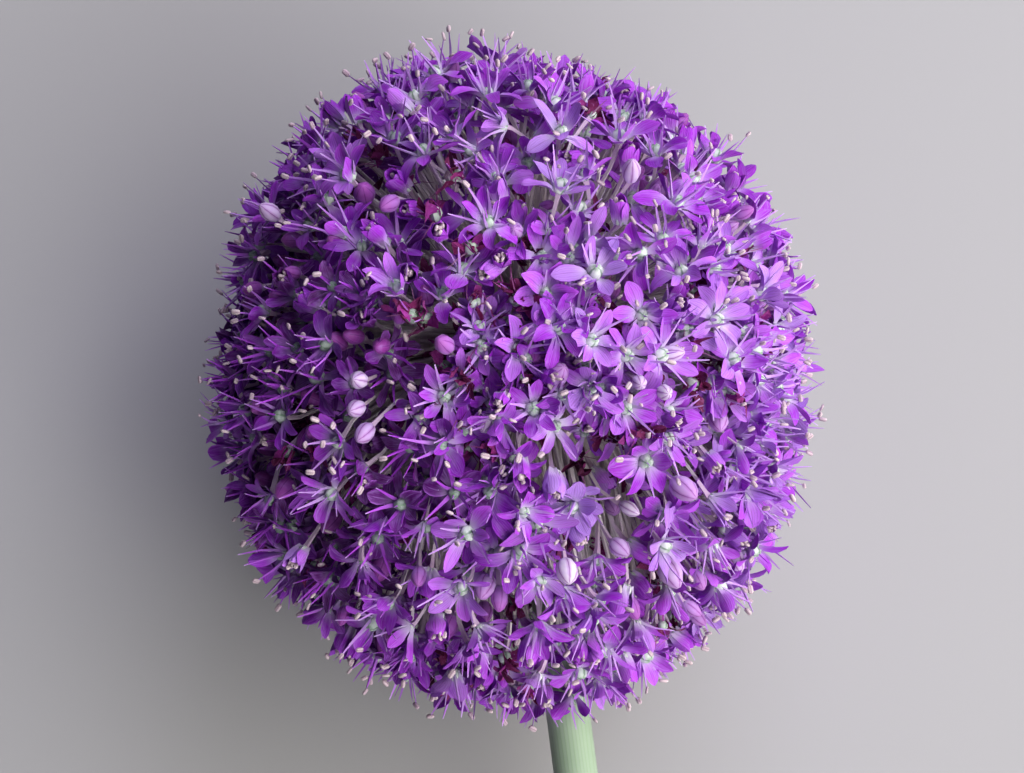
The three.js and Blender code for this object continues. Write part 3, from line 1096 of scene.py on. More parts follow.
def pedicel_material(colours):
    """Pale stalk, purple under the floret, with painted shade that darkens it deep in the head."""
    material, tree, shader = new_material("pedicel_green")
    vector, _, along = read_along(tree)
    tone = read_tone(tree)
    upper = mix_colours(tree, tone, colours.pedicel, (0.90, 0.85, 0.87, 1))
    # Painted shade: dusky and dark towards the stalk's foot, deep in the head
    painted_deep_shade = wash(tree, upper, (0.52, 0.33, 0.38, 1), along, 0.10, 0.46, 1.0, 0.0)
    flushed = wash(tree, painted_deep_shade, (0.42, 0.20, 0.46, 1), along, 0.78, 1.0, 0.0, 0.7)
    streaks = tissue_cloud(tree, vector, tone, 12.0, 3.0)
    streaked = wash(tree, flushed, (0.60, 0.46, 0.50, 1), streaks, 0.4, 0.75, 0.0, 0.30)
    satin_finish(tree, shader, streaked, 0.45)
    bump_into(tree, shader, streaks, 0.2)
    return material


def withered_material(colours):
    """Dry burgundy tissue with paler creases."""
    material, tree, shader = new_material("withered_burgundy")
    vector, _, along = read_along(tree)
    tone = read_tone(tree)
    base = tone_ramp(
        tree,
        tone,
        [
            (0.0, (0.080, 0.005, 0.034, 1)),
            (0.4, colours.withered),
            (0.75, (0.290, 0.024, 0.250, 1)),
            (1.0, (0.400, 0.190, 0.320, 1)),
        ],
    )
    creases = tissue_cloud(tree, vector, tone, 7.0, 4.0)
    creased = wash(tree, base, (0.42, 0.16, 0.42, 1), creases, 0.5, 0.75, 0.0, 0.5)
    dry = wash(tree, creased, (0.13, 0.02, 0.08, 1), along, 0.6, 1.0, 0.0, 0.5)
    satin_finish(tree, shader, dry, 0.62)
    bump_into(tree, shader, creases, 0.6, 0.2 * MM)
    return material


def stem_material(colours):
    """Smooth green with a faint waxy bloom and fine lines along it, paler near the head."""
    material, tree, shader = new_material("stem_green")
    vector, _, along = read_along(tree)
    bloom = object_texture(tree, "ShaderNodeTexNoise", 60.0)
    bloom.inputs["Detail"].default_value = 4.0
    wax = bloom.outputs["Fac"]
    waxy = wash(tree, colours.stem, (0.40, 0.50, 0.38, 1), wax, 0.35, 0.7, 0.0, 0.55)
    lines, relief = tissue_veins(tree, vector, 0.3, 34.0)
    line = math_node(tree, "MULTIPLY", lines, 0.22)
    lined = mix_colours(tree, line, waxy, (0.20, 0.32, 0.14, 1))
    paler = wash(tree, lined, (0.60, 0.70, 0.50, 1), along, 0.0, 0.3, 0.35, 0.0)
    satin_finish(tree, shader, paler, 0.42)
    rough = map_range(tree, wax, 0.3, 0.7, 0.34, 0.52)
    tree.links.new(rough, shader.inputs["Roughness"])
    bump_into(tree, shader, relief, 0.12)
    return material


def cut_material():
    """Moist pale pith where the stem is cut."""
    material, tree, shader = new_material("stem_cut")
    pores = object_texture(tree, "ShaderNodeTexVoronoi", 1600.0)
    spot = map_range(tree, pores.outputs["Distance"], 0.1, 0.6)
    pith = mix_colours(tree, spot, (0.40, 0.52, 0.26, 1), (0.70, 0.76, 0.54, 1))
    tree.links.new(pith, shader.inputs["Base Color"])
    shader.inputs["Roughness"].default_value = 0.3
    bump_into(tree, shader, pores.outputs["Distance"], 0.4, 0.2 * MM)
    return material


def floor_material(colours):
    """Pale matte floor with the faintest grain."""
    material, tree, shader = new_material("studio_floor")
    grain = object_texture(tree, "ShaderNodeTexNoise", 6.0)
    darker = tuple(channel * 0.97 for channel in colours.floor[:3]) + (1,)
    grained = mix_colours(tree, grain.outputs["Fac"], colours.floor, darker)
    tree.links.new(grained, shader.inputs["Base Color"])
    shader.inputs["Roughness"].default_value = 0.9
    return material


# Modelled once, then copied


def tepal_prototype(rows, widths, thicknesses):
    """One tepal of unit length: a thin blade on a narrow claw, folded along its midrib."""
    piece = add_tube("tepal_shape", 4, rows)
    lay_out_map(piece, around=False)
    shape_rows(piece, zip(rows, widths, thicknesses))
    raise_edges(piece, [row for row in rows if 0.2 < row < 0.85], 0.13)
    raise_edges(piece, [row for row in rows if 0.85 < row < 0.99], 0.07)
    return piece


def fine_tepal():
    """The tepal of the outer florets."""
    return tepal_prototype(
        [0.0, 0.13, 0.29, 0.46, 0.63, 0.79, 0.92, 1.0],
        [0.36, 0.42, 0.66, 0.92, 1.0, 0.88, 0.54, 0.12],
        [0.34, 0.20, 0.12, 0.09, 0.08, 0.07, 0.06, 0.05],
    )


def plain_tepal():
    """The tepal of florets deep in the head and of withered ones, with fewer faces."""
    return tepal_prototype(
        [0.0, 0.27, 0.58, 0.86, 1.0], [0.34, 0.60, 1.0, 0.84, 0.26], [0.30, 0.13, 0.08, 0.07, 0.05]
    )


def add_round(name, sides, rows, widths, flatness=1.0):
    """A round piece of unit length, with its own width at each row."""
    piece = add_tube(name, sides, rows)
    lay_out_map(piece, around=True)
    shape_rows(piece, [(row, width, flatness * width) for row, width in zip(rows, widths)])
    return piece


def filament_prototype():
    """One filament of unit length: a broad base that draws out to a thread."""
    return add_round("filament_shape", 3, [0.0, 0.20, 0.50, 1.0], [1.45, 1.22, 0.92, 0.34], 0.62)


def anther_prototype():
    """One anther of unit length: oblong, with two lobes."""
    piece = add_round("anther_shape", 6, [0.0, 0.18, 0.82, 1.0], [0.52, 1.0, 1.0, 0.52], 0.8)
    pinch_columns(piece, [math.pi / 2, -math.pi / 2], 0.3, -0.1, 1.1, 0.12)
    return piece


def ovary_prototype(sides, rows, widths):
    """One ovary of unit length: a low egg with three lobes."""
    piece = add_round("ovary_shape", sides, rows, widths)
    start = column_angle(piece)
    pinch_columns(piece, [start + k * math.pi * 2 / 3 for k in range(3)], 0.1, 0.1, 1.1, 0.09)
    return piece


def fine_ovary():
    """The ovary of the outer florets."""
    return ovary_prototype(9, [0.0, 0.22, 0.52, 0.84, 1.0], [0.55, 0.94, 1.0, 0.74, 0.34])


def plain_ovary():
    """The ovary of florets deep in the head, with fewer faces."""
    return ovary_prototype(6, [0.0, 0.30, 0.78, 1.0], [0.55, 1.0, 0.86, 0.36])


def bud_prototype():
    """One closed bud of unit length: an egg of six tepals that meet at its tip."""
    rows = [0.0, 0.13, 0.36, 0.62, 0.86, 1.0]
    widths = [0.42, 0.76, 0.98, 0.95, 0.62, 0.18]
    piece = add_round("bud_shape", 12, rows, widths)
    start = column_angle(piece)
    pinch_columns(piece, [start + k * math.pi / 3 for k in range(6)], 0.1, 0.1, 0.95, 0.030)
    return piece


def pedicel_prototype():
    """One stalk of unit length that swells where the floret sits on it."""
    rows = [0.0, 0.15, 0.38, 0.62, 0.86, 0.97, 1.0]
    widths = [1.5, 0.95, 0.84, 0.84, 0.90, 1.2, 1.7]
    return add_round("pedicel_shape", 4, rows, widths)


# Shapes of the copies


def tepal_shapes(florets, sizes, rng, whorl):
    """How each tepal of one whorl is bent, for open florets and for half-open ones."""
    here = len(florets["size"])
    count = here * 3
    size = per_floret(florets["size"], 3)
    cup = per_floret(florets["kind"] == CUP, 3)
    openness = per_floret(rng.normal(0, 1, here), 3)
    slimness = per_floret(rng.normal(1, 0.12, here), 3)
    heading = np.tile(np.arange(3) * 2 * math.pi / 3 + whorl * math.pi / 3, here)
    loose = rng.normal(0, 1, count)
    open_rise = 0.34 + 0.16 * whorl + 0.25 * openness + 0.17 * loose
    cup_rise = 1.00 + 0.10 * openness + 0.03 * loose
    open_curl = -0.12 + rng.normal(0, 0.50, count)
    cup_curl = 0.95 - 0.22 * openness + rng.normal(0, 0.08, count)
    looseness = np.where(cup, 0.3, 1.0)
    wide = sizes.tepal_width * size * slimness * (1.0 - 0.10 * whorl)
    return bends(
        count,
        length=sizes.tepal_length * size * np.where(cup, 0.84, 1.0) * rng.normal(1, 0.07, count),
        width=wide * rng.normal(1, 0.08, count),
        thickness=sizes.tepal_width * size,
        sway=rng.normal(0, 0.08, count) * looseness,
        wave=rng.normal(0, 0.36, count) * looseness * MM,
        fold=np.where(cup, 0.55, rng.normal(0.20, 0.32, count)) * MM,
        phase=rng.uniform(0, 2 * math.pi, count),
        tip=rng.normal(-0.01, 0.11, count) * looseness,
        twist=rng.normal(0, 0.45, count) * looseness,
        radius=np.where(cup, 1.05 - 0.22 * whorl, 0.60) * MM,
        height=(0.1 + 0.12 * whorl) * MM,
        rise=np.where(cup, cup_rise, open_rise),
        curl=np.where(cup, cup_curl, open_curl),
        heading=heading + rng.normal(0, 0.12, count) * looseness,
    )


def filament_shapes(florets, sizes, rng):
    """How each filament leans out of its floret, or stays inside a half-open one."""
    here = len(florets["size"])
    count = here * 6
    size = per_floret(florets["size"], 6)
    cup = per_floret(florets["kind"] == CUP, 6)
    heading = np.tile(np.arange(6) * math.pi / 3 + math.pi / 6, here)
    looseness = np.where(cup, 0.25, 1.0)
    long = sizes.filament_length * size * np.where(cup, 0.58, 1.0)
    return bends(
        count,
        length=long * rng.normal(1, 0.10, count),
        width=0.74 * MM,
        thickness=0.74 * MM,
        sway=rng.normal(0, 0.10, count) * looseness,
        tip=rng.normal(0.0, 0.05, count) * looseness,
        radius=np.where(cup, 0.85, 1.0) * MM,
        height=0.3 * MM,
        rise=np.where(cup, 1.60, 0.98) + rng.normal(0, 0.20, count) * looseness,
        curl=rng.normal(0.10, 0.26, count) * looseness,
        heading=heading + rng.normal(0, 0.16, count),
    )


def withered_filament_shapes(florets, sizes, rng):
    """Thin dry filaments that curl every way."""
    here = len(florets["size"])
    count = here * 4
    heading = np.tile(np.arange(4) * math.pi / 2 + math.pi / 6, here)
    return bends(
        count,
        length=sizes.filament_length * rng.uniform(0.45, 0.95, count),
        width=0.36 * MM,
        thickness=0.36 * MM,
        sway=rng.normal(0, 0.3, count),
        tip=rng.normal(0, 0.15, count),
        radius=0.8 * MM,
        height=0.2 * MM,
        rise=rng.normal(1.0, 0.40, count),
        curl=rng.normal(0.2, 0.95, count),
        heading=heading + rng.normal(0, 0.5, count),
    )


def withered_shapes(florets, sizes, rng):
    """Tepals that dried up: drawn together, rolled and crumpled."""
    here = len(florets["size"])
    count = here * 6
    size = per_floret(florets["size"], 6)
    heading = np.tile(np.arange(6) * math.pi / 3, here)
    return bends(
        count,
        length=sizes.tepal_length * size * rng.uniform(0.50, 0.88, count),
        width=sizes.tepal_width * size * rng.uniform(0.26, 0.62, count),
        thickness=sizes.tepal_width * size * 1.5,
        sway=rng.normal(0, 0.22, count),
        wave=rng.normal(0, 1.1, count) * MM,
        fold=rng.normal(0.2, 0.6, count) * MM,
        phase=rng.uniform(0, 2 * math.pi, count),
        tip=rng.normal(0, 0.25, count),
        twist=rng.normal(0, 1.2, count),
        radius=0.7 * MM,
        height=0.1 * MM,
        rise=rng.normal(0.95, 0.35, count),
        curl=rng.normal(0.7, 0.9, count),
        heading=heading + rng.normal(0, 0.4, count),
    )


def thread_ends(shape):
    """End place and direction of each bent thread, in its floret's frame."""
    radius, height, slope = bent_line(shape, 1.0)
    lift = shape["tip"] * shape["length"]
    radius = radius - lift * np.sin(slope)
    height = height + lift * np.cos(slope)
    heading = shape["heading"]
    side = np.stack([-np.sin(heading), np.cos(heading), np.zeros(len(heading))], axis=1)
    place = np.stack([radius * np.cos(heading), radius * np.sin(heading), height], axis=1)
    place += side * (shape["sway"] * shape["length"])[:, None]
    forward = np.stack(
        [np.cos(slope) * np.cos(heading), np.cos(slope) * np.sin(heading), np.sin(slope)], axis=1
    )
    return place, forward + side * 2 * shape["sway"][:, None]


# The pieces


def pedicel_curves(head, stem, florets, rng):
    """The four points that give each stalk's curve, from the receptacle to its floret."""
    axis = np.array(stem_direction(head))
    direction = florets["direction"]
    angle = np.arccos(np.clip(direction @ axis, -1, 1))
    least = math.radians(62)  # no stalk starts nearer to the stem than this
    root_angle = least + angle * (1 - least / math.pi)
    aside = direction - axis * np.cos(angle)[:, None]
    aside /= np.linalg.norm(aside, axis=1, keepdims=True)
    outward = axis * np.cos(root_angle)[:, None] + aside * np.sin(root_angle)[:, None]
    start = np.array(head_middle(head)) + outward * stem.receptacle * 0.8
    facing = florets["turn"][:, :, 2]
    end = florets["centre"] - facing * 0.15 * MM
    span = np.linalg.norm(end - start, axis=1, keepdims=True)
    first = start + (outward + rng.normal(0, 0.15, start.shape)) * span * 0.36
    second = end - facing * span * 0.20 + rng.normal(0, 0.055, start.shape) * span
    return start, first, second, end


def bend_along(points, curves, across, width):
    """Places of a stalk's points when it follows each curve."""
    t = points[None, :, 1:2]
    a, b, c, d = (corner[:, None, :] for corner in curves)
    line = a * (1 - t) ** 3 + 3 * b * t * (1 - t) ** 2 + 3 * c * t**2 * (1 - t) + d * t**3
    slope = 3 * (b - a) * (1 - t) ** 2 + 6 * (c - b) * t * (1 - t) + 3 * (d - c) * t**2
    slope /= np.linalg.norm(slope, axis=2, keepdims=True)
    side = np.cross(slope, np.broadcast_to(across[:, None, :], slope.shape))
    side /= np.linalg.norm(side, axis=2, keepdims=True)
    other = np.cross(slope, side)
    x = points[None, :, 0:1] * width[:, None, None]
    z = points[None, :, 2:3] * width[:, None, None]
    return line + side * x + other * z


def make_pedicels(context):
    """Curved stalks from the receptacle to every floret and bud."""
    scene = context.scene
    head = scene.allium_head
    florets = floret_places(head)
    rng = np.random.default_rng(head.seed + 1)
    curves = pedicel_curves(head, scene.allium_stem, florets, rng)
    count = len(florets["size"])
    width = scene.allium_floret.stalk_width * rng.normal(1, 0.08, count).clip(0.8, 1.2)
    prototype = pedicel_prototype()
    points = prototype_arrays(prototype)[0]
    places = press_on_floor(bend_along(points, curves, florets["turn"][:, :, 0], width))
    tone = rng.uniform(0, 1, count)
    material = pedicel_material(scene.allium_colours)
    piece = joined_copies("pedicels", prototype, places, tone, material, math.radians(80))
    finish_piece(piece)


def make_tepals(context):
    """Both whorls of tepals on the open and half-open florets."""
    scene = context.scene
    head = scene.allium_head
    places = floret_places(head)
    outer = of_kind(places, OPEN, CUP, deep=False)
    deep = of_kind(places, OPEN, CUP, deep=True)
    material = tepal_material(scene.allium_colours)
    for name, florets, whorls, prototype in (
        ("outer_tepals", outer, (0,), fine_tepal()),
        ("inner_tepals", outer, (1,), fine_tepal()),
        ("deep_tepals", deep, (0, 1), plain_tepal()),
    ):
        rng = np.random.default_rng(head.seed + 2 + len(name) + whorls[0])
        shapes = [tepal_shapes(florets, scene.allium_floret, rng, whorl) for whorl in whorls]
        shape = {key: np.concatenate([part[key] for part in shapes]) for key in shapes[0]}
        local = bend_out(prototype_arrays(prototype)[0], shape)
        centres = np.tile(per_floret(florets["centre"], 3), (len(whorls), 1))
        turns = np.tile(per_floret(florets["turn"], 3), (len(whorls), 1, 1))
        tone = np.tile(per_floret(florets["tone"], 3), len(whorls))
        tone += rng.normal(0, 0.06, len(centres))
        where = press_on_floor(on_florets(local, centres, turns))
        piece = joined_copies(name, prototype, where, tone.clip(0, 1), material, math.radians(70))
        finish_piece(piece, "umbel" if name == "outer_tepals" else None)


def make_stamens(context):
    """Filaments on the open and half-open florets, and the anthers that haven't fallen."""
    scene = context.scene
    head, sizes = scene.allium_head, scene.allium_floret
    florets = of_kind(floret_places(head), OPEN, CUP)
    rng = np.random.default_rng(head.seed + 5)
    shape = filament_shapes(florets, sizes, rng)
    deep = per_floret(florets["deep"], 6)
    cup = per_floret(florets["kind"] == CUP, 6)
    left = ~deep | (rng.uniform(0, 1, len(deep)) < DEEP_FILAMENTS)
    shape = {key: value[left] for key, value in shape.items()}
    centres = per_floret(florets["centre"], 6)[left]
    turns = per_floret(florets["turn"], 6)[left]
    prototype = filament_prototype()
    local = bend_out(prototype_arrays(prototype)[0], shape)
    places = press_on_floor(on_florets(local, centres, turns))
    tone = per_floret(florets["tone"], 6)[left]
    material = filament_material(scene.allium_colours)
    piece = joined_copies("filaments", prototype, places, tone, material, math.radians(80))
    finish_piece(piece)
    make_anthers(scene, shape, centres, turns, cup[left], rng)


def stood_up(points):
    """Points of a piece that lies along +Y, turned to stand along +Z."""
    return points[:, :, [0, 2, 1]] * np.array([1, -1, 1])


def make_anthers(scene, shape, centres, turns, cup, rng):
    """An anther across the tip of each filament that still has one."""
    sizes = scene.allium_floret
    kept = cup | (rng.uniform(0, 1, len(centres)) < ANTHERS_LEFT)
    place, forward = thread_ends(shape)
    prototype = anther_prototype()
    points = prototype_arrays(prototype)[0] - np.array([0, 0.5, 0])
    length = sizes.anther_length * rng.normal(1, 0.10, len(place)).clip(0.7, 1.3)
    away = forward + rng.normal(0, 1, forward.shape) * np.where(cup, 0.2, 0.75)[:, None]
    away /= np.linalg.norm(away, axis=1, keepdims=True)
    frames = turn_frames(away, rng.uniform(0, 2 * math.pi, len(place)))
    scaled = points[None] * length[:, None, None] * np.array([0.62, 1, 0.62])
    local = on_florets(stood_up(scaled), place, frames)
    places = press_on_floor(on_florets(local[kept], centres[kept], turns[kept]))
    tone = rng.uniform(0, 1, int(kept.sum()))
    material = anther_material(scene.allium_colours)
    piece = joined_copies("anthers", prototype, places, tone, material, math.radians(80))
    finish_piece(piece)


def stand_on_florets(points, florets, width, length, sink):
    """Places of an upright piece, such as an ovary, on each floret."""
    scale = np.stack([width, length, width], axis=1)[:, None, :]
    stood = stood_up(points[None] * scale)
    stood[:, :, 2] -= sink
    return on_florets(stood, florets["centre"], florets["turn"])


def make_ovaries(context):
    """The pale green ovary in the middle of each floret, and the short style on it."""
    scene = context.scene
    head, sizes = scene.allium_head, scene.allium_floret
    places = floret_places(head)
    material = ovary_material(scene.allium_colours)
    rng = np.random.default_rng(head.seed + 7)
    for name, deep, prototype in (
        ("ovaries", False, fine_ovary()),
        ("deep_ovaries", True, plain_ovary()),
    ):
        florets = of_kind(places, OPEN, CUP, WITHERED, deep=deep)
        width = sizes.ovary_width * florets["size"] * rng.normal(1, 0.07, len(florets["size"]))
        points = prototype_arrays(prototype)[0]
        stood = press_on_floor(stand_on_florets(points, florets, width, width * 0.92, 0.25 * MM))
        tone = florets["tone"] + rng.normal(0, 0.12, len(width))
        piece = joined_copies(name, prototype, stood, tone.clip(0, 1), material, math.radians(60))
        finish_piece(piece)
        if not deep:
            make_styles(scene, florets, width, rng)


def make_styles(scene, florets, width, rng):
    """A thin style on top of each ovary."""
    prototype = filament_prototype()
    points = prototype_arrays(prototype)[0]
    length = width * rng.uniform(0.7, 1.5, len(width))
    places = stand_on_florets(points, florets, np.full(len(width), 0.40 * MM), length, 0.0)
    places += florets["turn"][:, None, :, 2] * (width * 0.62)[:, None, None]
    tone = rng.uniform(0, 0.6, len(width))
    material = filament_material(scene.allium_colours)
    places = press_on_floor(places)
    piece = joined_copies("styles", prototype, places, tone, material, math.radians(80))
    finish_piece(piece)


def make_buds(context):
    """Closed buds on their pedicels."""
    scene = context.scene
    head, sizes = scene.allium_head, scene.allium_floret
    buds = of_kind(floret_places(head), BUD)
    rng = np.random.default_rng(head.seed + 8)
    prototype = bud_prototype()
    length = sizes.bud_length * buds["size"] * rng.normal(1, 0.10, len(buds["size"])).clip(0.7, 1.2)
    width = length * rng.normal(0.70, 0.05, len(length))
    points = prototype_arrays(prototype)[0]
    places = press_on_floor(stand_on_florets(points, buds, width, length, 0.2 * MM))
    material = bud_material(scene.allium_colours)
    piece = joined_copies("buds", prototype, places, buds["tone"], material, math.radians(85))
    finish_piece(piece)


def make_withered(context):
    """Dried tepals and filaments round the ovaries that have set."""
    scene = context.scene
    head, sizes = scene.allium_head, scene.allium_floret
    florets = of_kind(floret_places(head), WITHERED)
    rng = np.random.default_rng(head.seed + 9)
    material = withered_material(scene.allium_colours)
    for name, prototype, make_shapes, parts, tones in (
        ("withered_tepals", plain_tepal(), withered_shapes, 6, (0, 0.8)),
        ("withered_filaments", filament_prototype(), withered_filament_shapes, 4, (0.7, 1)),
    ):
        centres = per_floret(florets["centre"], parts)
        turns = per_floret(florets["turn"], parts)
        shape = make_shapes(florets, sizes, rng)
        local = bend_out(prototype_arrays(prototype)[0], shape)
        places = press_on_floor(on_florets(local, centres, turns))
        tone = rng.uniform(*tones, len(centres))
        piece = joined_copies(name, prototype, places, tone, material, math.radians(70))
        finish_piece(piece)


def make_receptacle(context):
    """The swollen top of the stem."""
    scene = context.scene
    head, stem = scene.allium_head, scene.allium_stem
    deselect_all()
    bpy.ops.mesh.primitive_uv_sphere_add(segments=24, ring_count=14, radius=stem.receptacle)
    piece = bpy.context.object
    piece.name = "receptacle"
    bpy.ops.object.mode_set(mode="EDIT")
    select_points(piece, lambda co: co.z < -0.55 * stem.receptacle)
    bpy.ops.transform.resize(value=(0.9, 0.9, 0.8))
    bpy.ops.object.mode_set(mode="OBJECT")
    lay_out_map(piece, around=True)
    turn = Vector((0, 0, -1)).rotation_difference(stem_direction(head)).to_matrix().to_4x4()
    piece.data.transform(Matrix.Translation(head_middle(head)) @ turn)
    tone = piece.data.attributes.new("tone", "FLOAT", "POINT")
    tone.data.foreach_set("value", np.full(len(piece.data.vertices), 0.5, np.float32))
    bpy.ops.object.shade_smooth()
    # The stalks' material paints its deep shade over the whole receptacle
    piece.data.materials.append(pedicel_material(scene.allium_colours))
    finish_piece(piece)


def make_scape(context):
    """The stem: a smooth tube that widens towards its cut end."""
    scene = context.scene
    head, stem = scene.allium_head, scene.allium_stem
    steps = 40
    rows = [k / steps for k in range(steps + 1)]
    piece = add_tube("scape_skin", 40, rows)
    bpy.ops.object.mode_set(mode="EDIT")
    select_points(piece, lambda co: co.y > 1 - ON_ROW)
    bpy.ops.mesh.dissolve_faces()
    bpy.ops.mesh.inset(thickness=0.06)
    bpy.ops.mesh.inset(thickness=0.08, depth=0.0)
    bpy.ops.object.mode_set(mode="OBJECT")
    lay_out_map(piece, around=True)
    direction = stem_direction(head)
    middle = head_middle(head)
    start = middle + direction * (stem.receptacle + 0.1 * MM)
    end_y = SCAPE_LOW.y + SCAPE_RADIUS * CUT_END_IN
    end = Vector((middle.x, end_y, SCAPE_RADIUS * CUT_END_UP))
    bend = start.lerp(end, 0.5) + Vector((0, 0, 2 * stem.bow))
    for point in piece.data.vertices:
        t = point.co.y
        line = start * (1 - t) ** 2 + bend * 2 * t * (1 - t) + end * t * t
        slope = ((bend - start) * (1 - t) + (end - bend) * t).normalized()
        side = Vector((1, 0, 0))
        other = slope.cross(side)
        wide = stem.width * (0.985 + 0.015 * t + 0.03 * math.exp(-t * 30))
        point.co = line + side * point.co.x * wide + other * point.co.z * wide
    bpy.ops.object.shade_smooth_by_angle(angle=math.radians(50))
    piece.data.materials.append(stem_material(scene.allium_colours))
    piece.data.materials.append(cut_material())
    for face in piece.data.polygons:
        if face.normal.dot((end - bend).normalized()) > 0.9:
            face.material_index = 1
    finish_piece(piece, "scape")


def make_stage(context):
    """Pale floor, soft lights and the camera over the lying flower."""
    scene = context.scene
    head = scene.allium_head
    deselect_all()
    bpy.ops.mesh.primitive_plane_add(size=6.0, location=(0, 0, -0.0002))
    floor = bpy.context.object
    floor.name = "studio_floor"
    floor.data.materials.append(floor_material(scene.allium_colours))
    for light in LIGHTS:
        add_light(head, *light)
    add_camera(head)
    scene.world = bpy.data.worlds.new("studio_air")
    scene.world.use_nodes = True
    air = scene.world.node_tree.nodes["Background"].inputs
    air["Color"].default_value = AIR_COLOUR
    air["Strength"].default_value = AIR_STRENGTH
    scene.view_settings.view_transform = "Standard"


def add_light(head, name, offset, width, power, colour):
    """A square soft light placed by the picture's own directions, aimed at the head."""
    middle = head_middle(head)
    place = middle.copy()
    for axis, distance in zip(picture_axes(head), offset):
        place += axis * distance
    data = bpy.data.lights.new(name, "AREA")
    data.size = width
    data.energy = power
    data.color = colour
    light = bpy.data.objects.new(name, data)
    light.location = place
    light.rotation_euler = (middle - place).to_track_quat("-Z", "Y").to_euler()
    bpy.context.scene.collection.objects.link(light)


def add_camera(head):
    """The camera looks at the side of the head, with the stem at the picture's bottom."""
    right, up, towards = picture_axes(head)
    data = bpy.data.cameras.new("picture_camera")
    data.lens = LENS_MM
    data.sensor_width = SENSOR_MM
    off_right = (PICTURE_WIDTH_PX / 2 - HEAD_MIDDLE_PX[0]) / PIXELS_PER_METRE
    off_up = (HEAD_MIDDLE_PX[1] - PICTURE_HEIGHT_PX / 2) / PIXELS_PER_METRE
    aim = head_middle(head) + right * off_right + up * off_up
    camera = bpy.data.objects.new("picture_camera", data)
    camera.location = aim + towards * CAMERA_DISTANCE
    turn = Matrix((right, up, towards)).transposed()
    camera.rotation_euler = turn.to_euler()
    bpy.context.scene.collection.objects.link(camera)
    bpy.context.scene.camera = camera


# Operators, panel and registration


class ALLIUM_OT_stage(bpy.types.Operator):
    """Pale floor, soft lights and the camera over the lying flower"""

    bl_idname = "allium.stage"
    bl_label = "Studio, lights and camera"
    bl_options = {"REGISTER", "UNDO"}

    def execute(self, context):
        make_stage(context)
        return {"FINISHED"}


class ALLIUM_OT_scape(bpy.types.Operator):
    """The stem: a smooth tube that widens towards its cut end"""

    bl_idname = "allium.scape"
    bl_label = "Stem"
    bl_options = {"REGISTER", "UNDO"}

    def execute(self, context):
        make_scape(context)
        return {"FINISHED"}


class ALLIUM_OT_receptacle(bpy.types.Operator):
    """The swollen top of the stem"""

    bl_idname = "allium.receptacle"
    bl_label = "Receptacle"
    bl_options = {"REGISTER", "UNDO"}

    def execute(self, context):
        make_receptacle(context)
        return {"FINISHED"}


class ALLIUM_OT_pedicels(bpy.types.Operator):
    """Curved stalks from the receptacle to every floret and bud"""

    bl_idname = "allium.pedicels"
    bl_label = "Pedicels"
    bl_options = {"REGISTER", "UNDO"}

    def execute(self, context):
        make_pedicels(context)
        return {"FINISHED"}


class ALLIUM_OT_tepals(bpy.types.Operator):
    """Both whorls of tepals on the open and half-open florets"""

    bl_idname = "allium.tepals"
    bl_label = "Tepals"
    bl_options = {"REGISTER", "UNDO"}

    def execute(self, context):
        make_tepals(context)
        return {"FINISHED"}


class ALLIUM_OT_stamens(bpy.types.Operator):
    """Filaments, and the anthers that haven't fallen"""

    bl_idname = "allium.stamens"
    bl_label = "Stamens"
    bl_options = {"REGISTER", "UNDO"}

    def execute(self, context):
        make_stamens(context)
        return {"FINISHED"}


class ALLIUM_OT_ovaries(bpy.types.Operator):
    """The ovary in the middle of each floret, and its style"""

    bl_idname = "allium.ovaries"
    bl_label = "Ovaries and styles"
    bl_options = {"REGISTER", "UNDO"}

    def execute(self, context):
        make_ovaries(context)
        return {"FINISHED"}


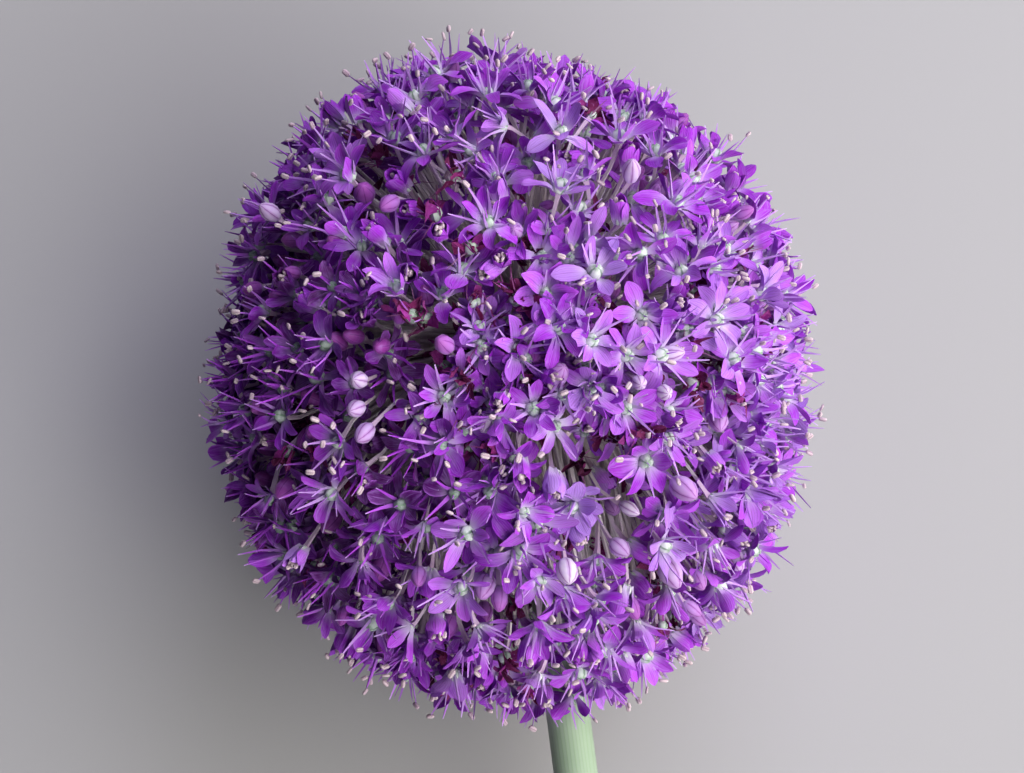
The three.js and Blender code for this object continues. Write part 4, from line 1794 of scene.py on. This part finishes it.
class ALLIUM_OT_buds(bpy.types.Operator):
    """Closed buds on their pedicels"""

    bl_idname = "allium.buds"
    bl_label = "Buds"
    bl_options = {"REGISTER", "UNDO"}

    def execute(self, context):
        make_buds(context)
        return {"FINISHED"}


class ALLIUM_OT_withered(bpy.types.Operator):
    """Dried tepals and filaments round the ovaries that have set"""

    bl_idname = "allium.withered"
    bl_label = "Withered florets"
    bl_options = {"REGISTER", "UNDO"}

    def execute(self, context):
        make_withered(context)
        return {"FINISHED"}


# In the order in which they build the flower
OPERATORS = (
    ALLIUM_OT_stage,
    ALLIUM_OT_scape,
    ALLIUM_OT_receptacle,
    ALLIUM_OT_pedicels,
    ALLIUM_OT_tepals,
    ALLIUM_OT_stamens,
    ALLIUM_OT_ovaries,
    ALLIUM_OT_buds,
    ALLIUM_OT_withered,
)


class ALLIUM_PT_panel(bpy.types.Panel):
    """Lists the steps that build the flower"""

    bl_label = "Giant allium"
    bl_idname = "ALLIUM_PT_panel"
    bl_space_type = "VIEW_3D"
    bl_region_type = "UI"
    bl_category = "Allium"

    def draw(self, context):
        for operator in OPERATORS:
            self.layout.operator(operator.bl_idname)


GROUPS = {
    "allium_head": AlliumHead,
    "allium_floret": AlliumFloret,
    "allium_stem": AlliumStem,
    "allium_colours": AlliumColours,
}


def register():
    """Registers the property groups, the operators and the panel."""
    for name, group in GROUPS.items():
        bpy.utils.register_class(group)
        setattr(bpy.types.Scene, name, bpy.props.PointerProperty(type=group))
    for operator in OPERATORS:
        bpy.utils.register_class(operator)
    bpy.utils.register_class(ALLIUM_PT_panel)


def unregister():
    """Takes everything back that register added."""
    bpy.utils.unregister_class(ALLIUM_PT_panel)
    for operator in reversed(OPERATORS):
        bpy.utils.unregister_class(operator)
    for name, group in GROUPS.items():
        delattr(bpy.types.Scene, name)
        bpy.utils.unregister_class(group)


def main():
    """Builds the whole scene, step by step."""
    register()
    for operator in OPERATORS:
        step = getattr(bpy.ops.allium, operator.bl_idname.removeprefix("allium."))
        if step() != {"FINISHED"}:
            raise RuntimeError(operator.bl_label + " didn't finish")


if __name__ == "__main__":
    main()
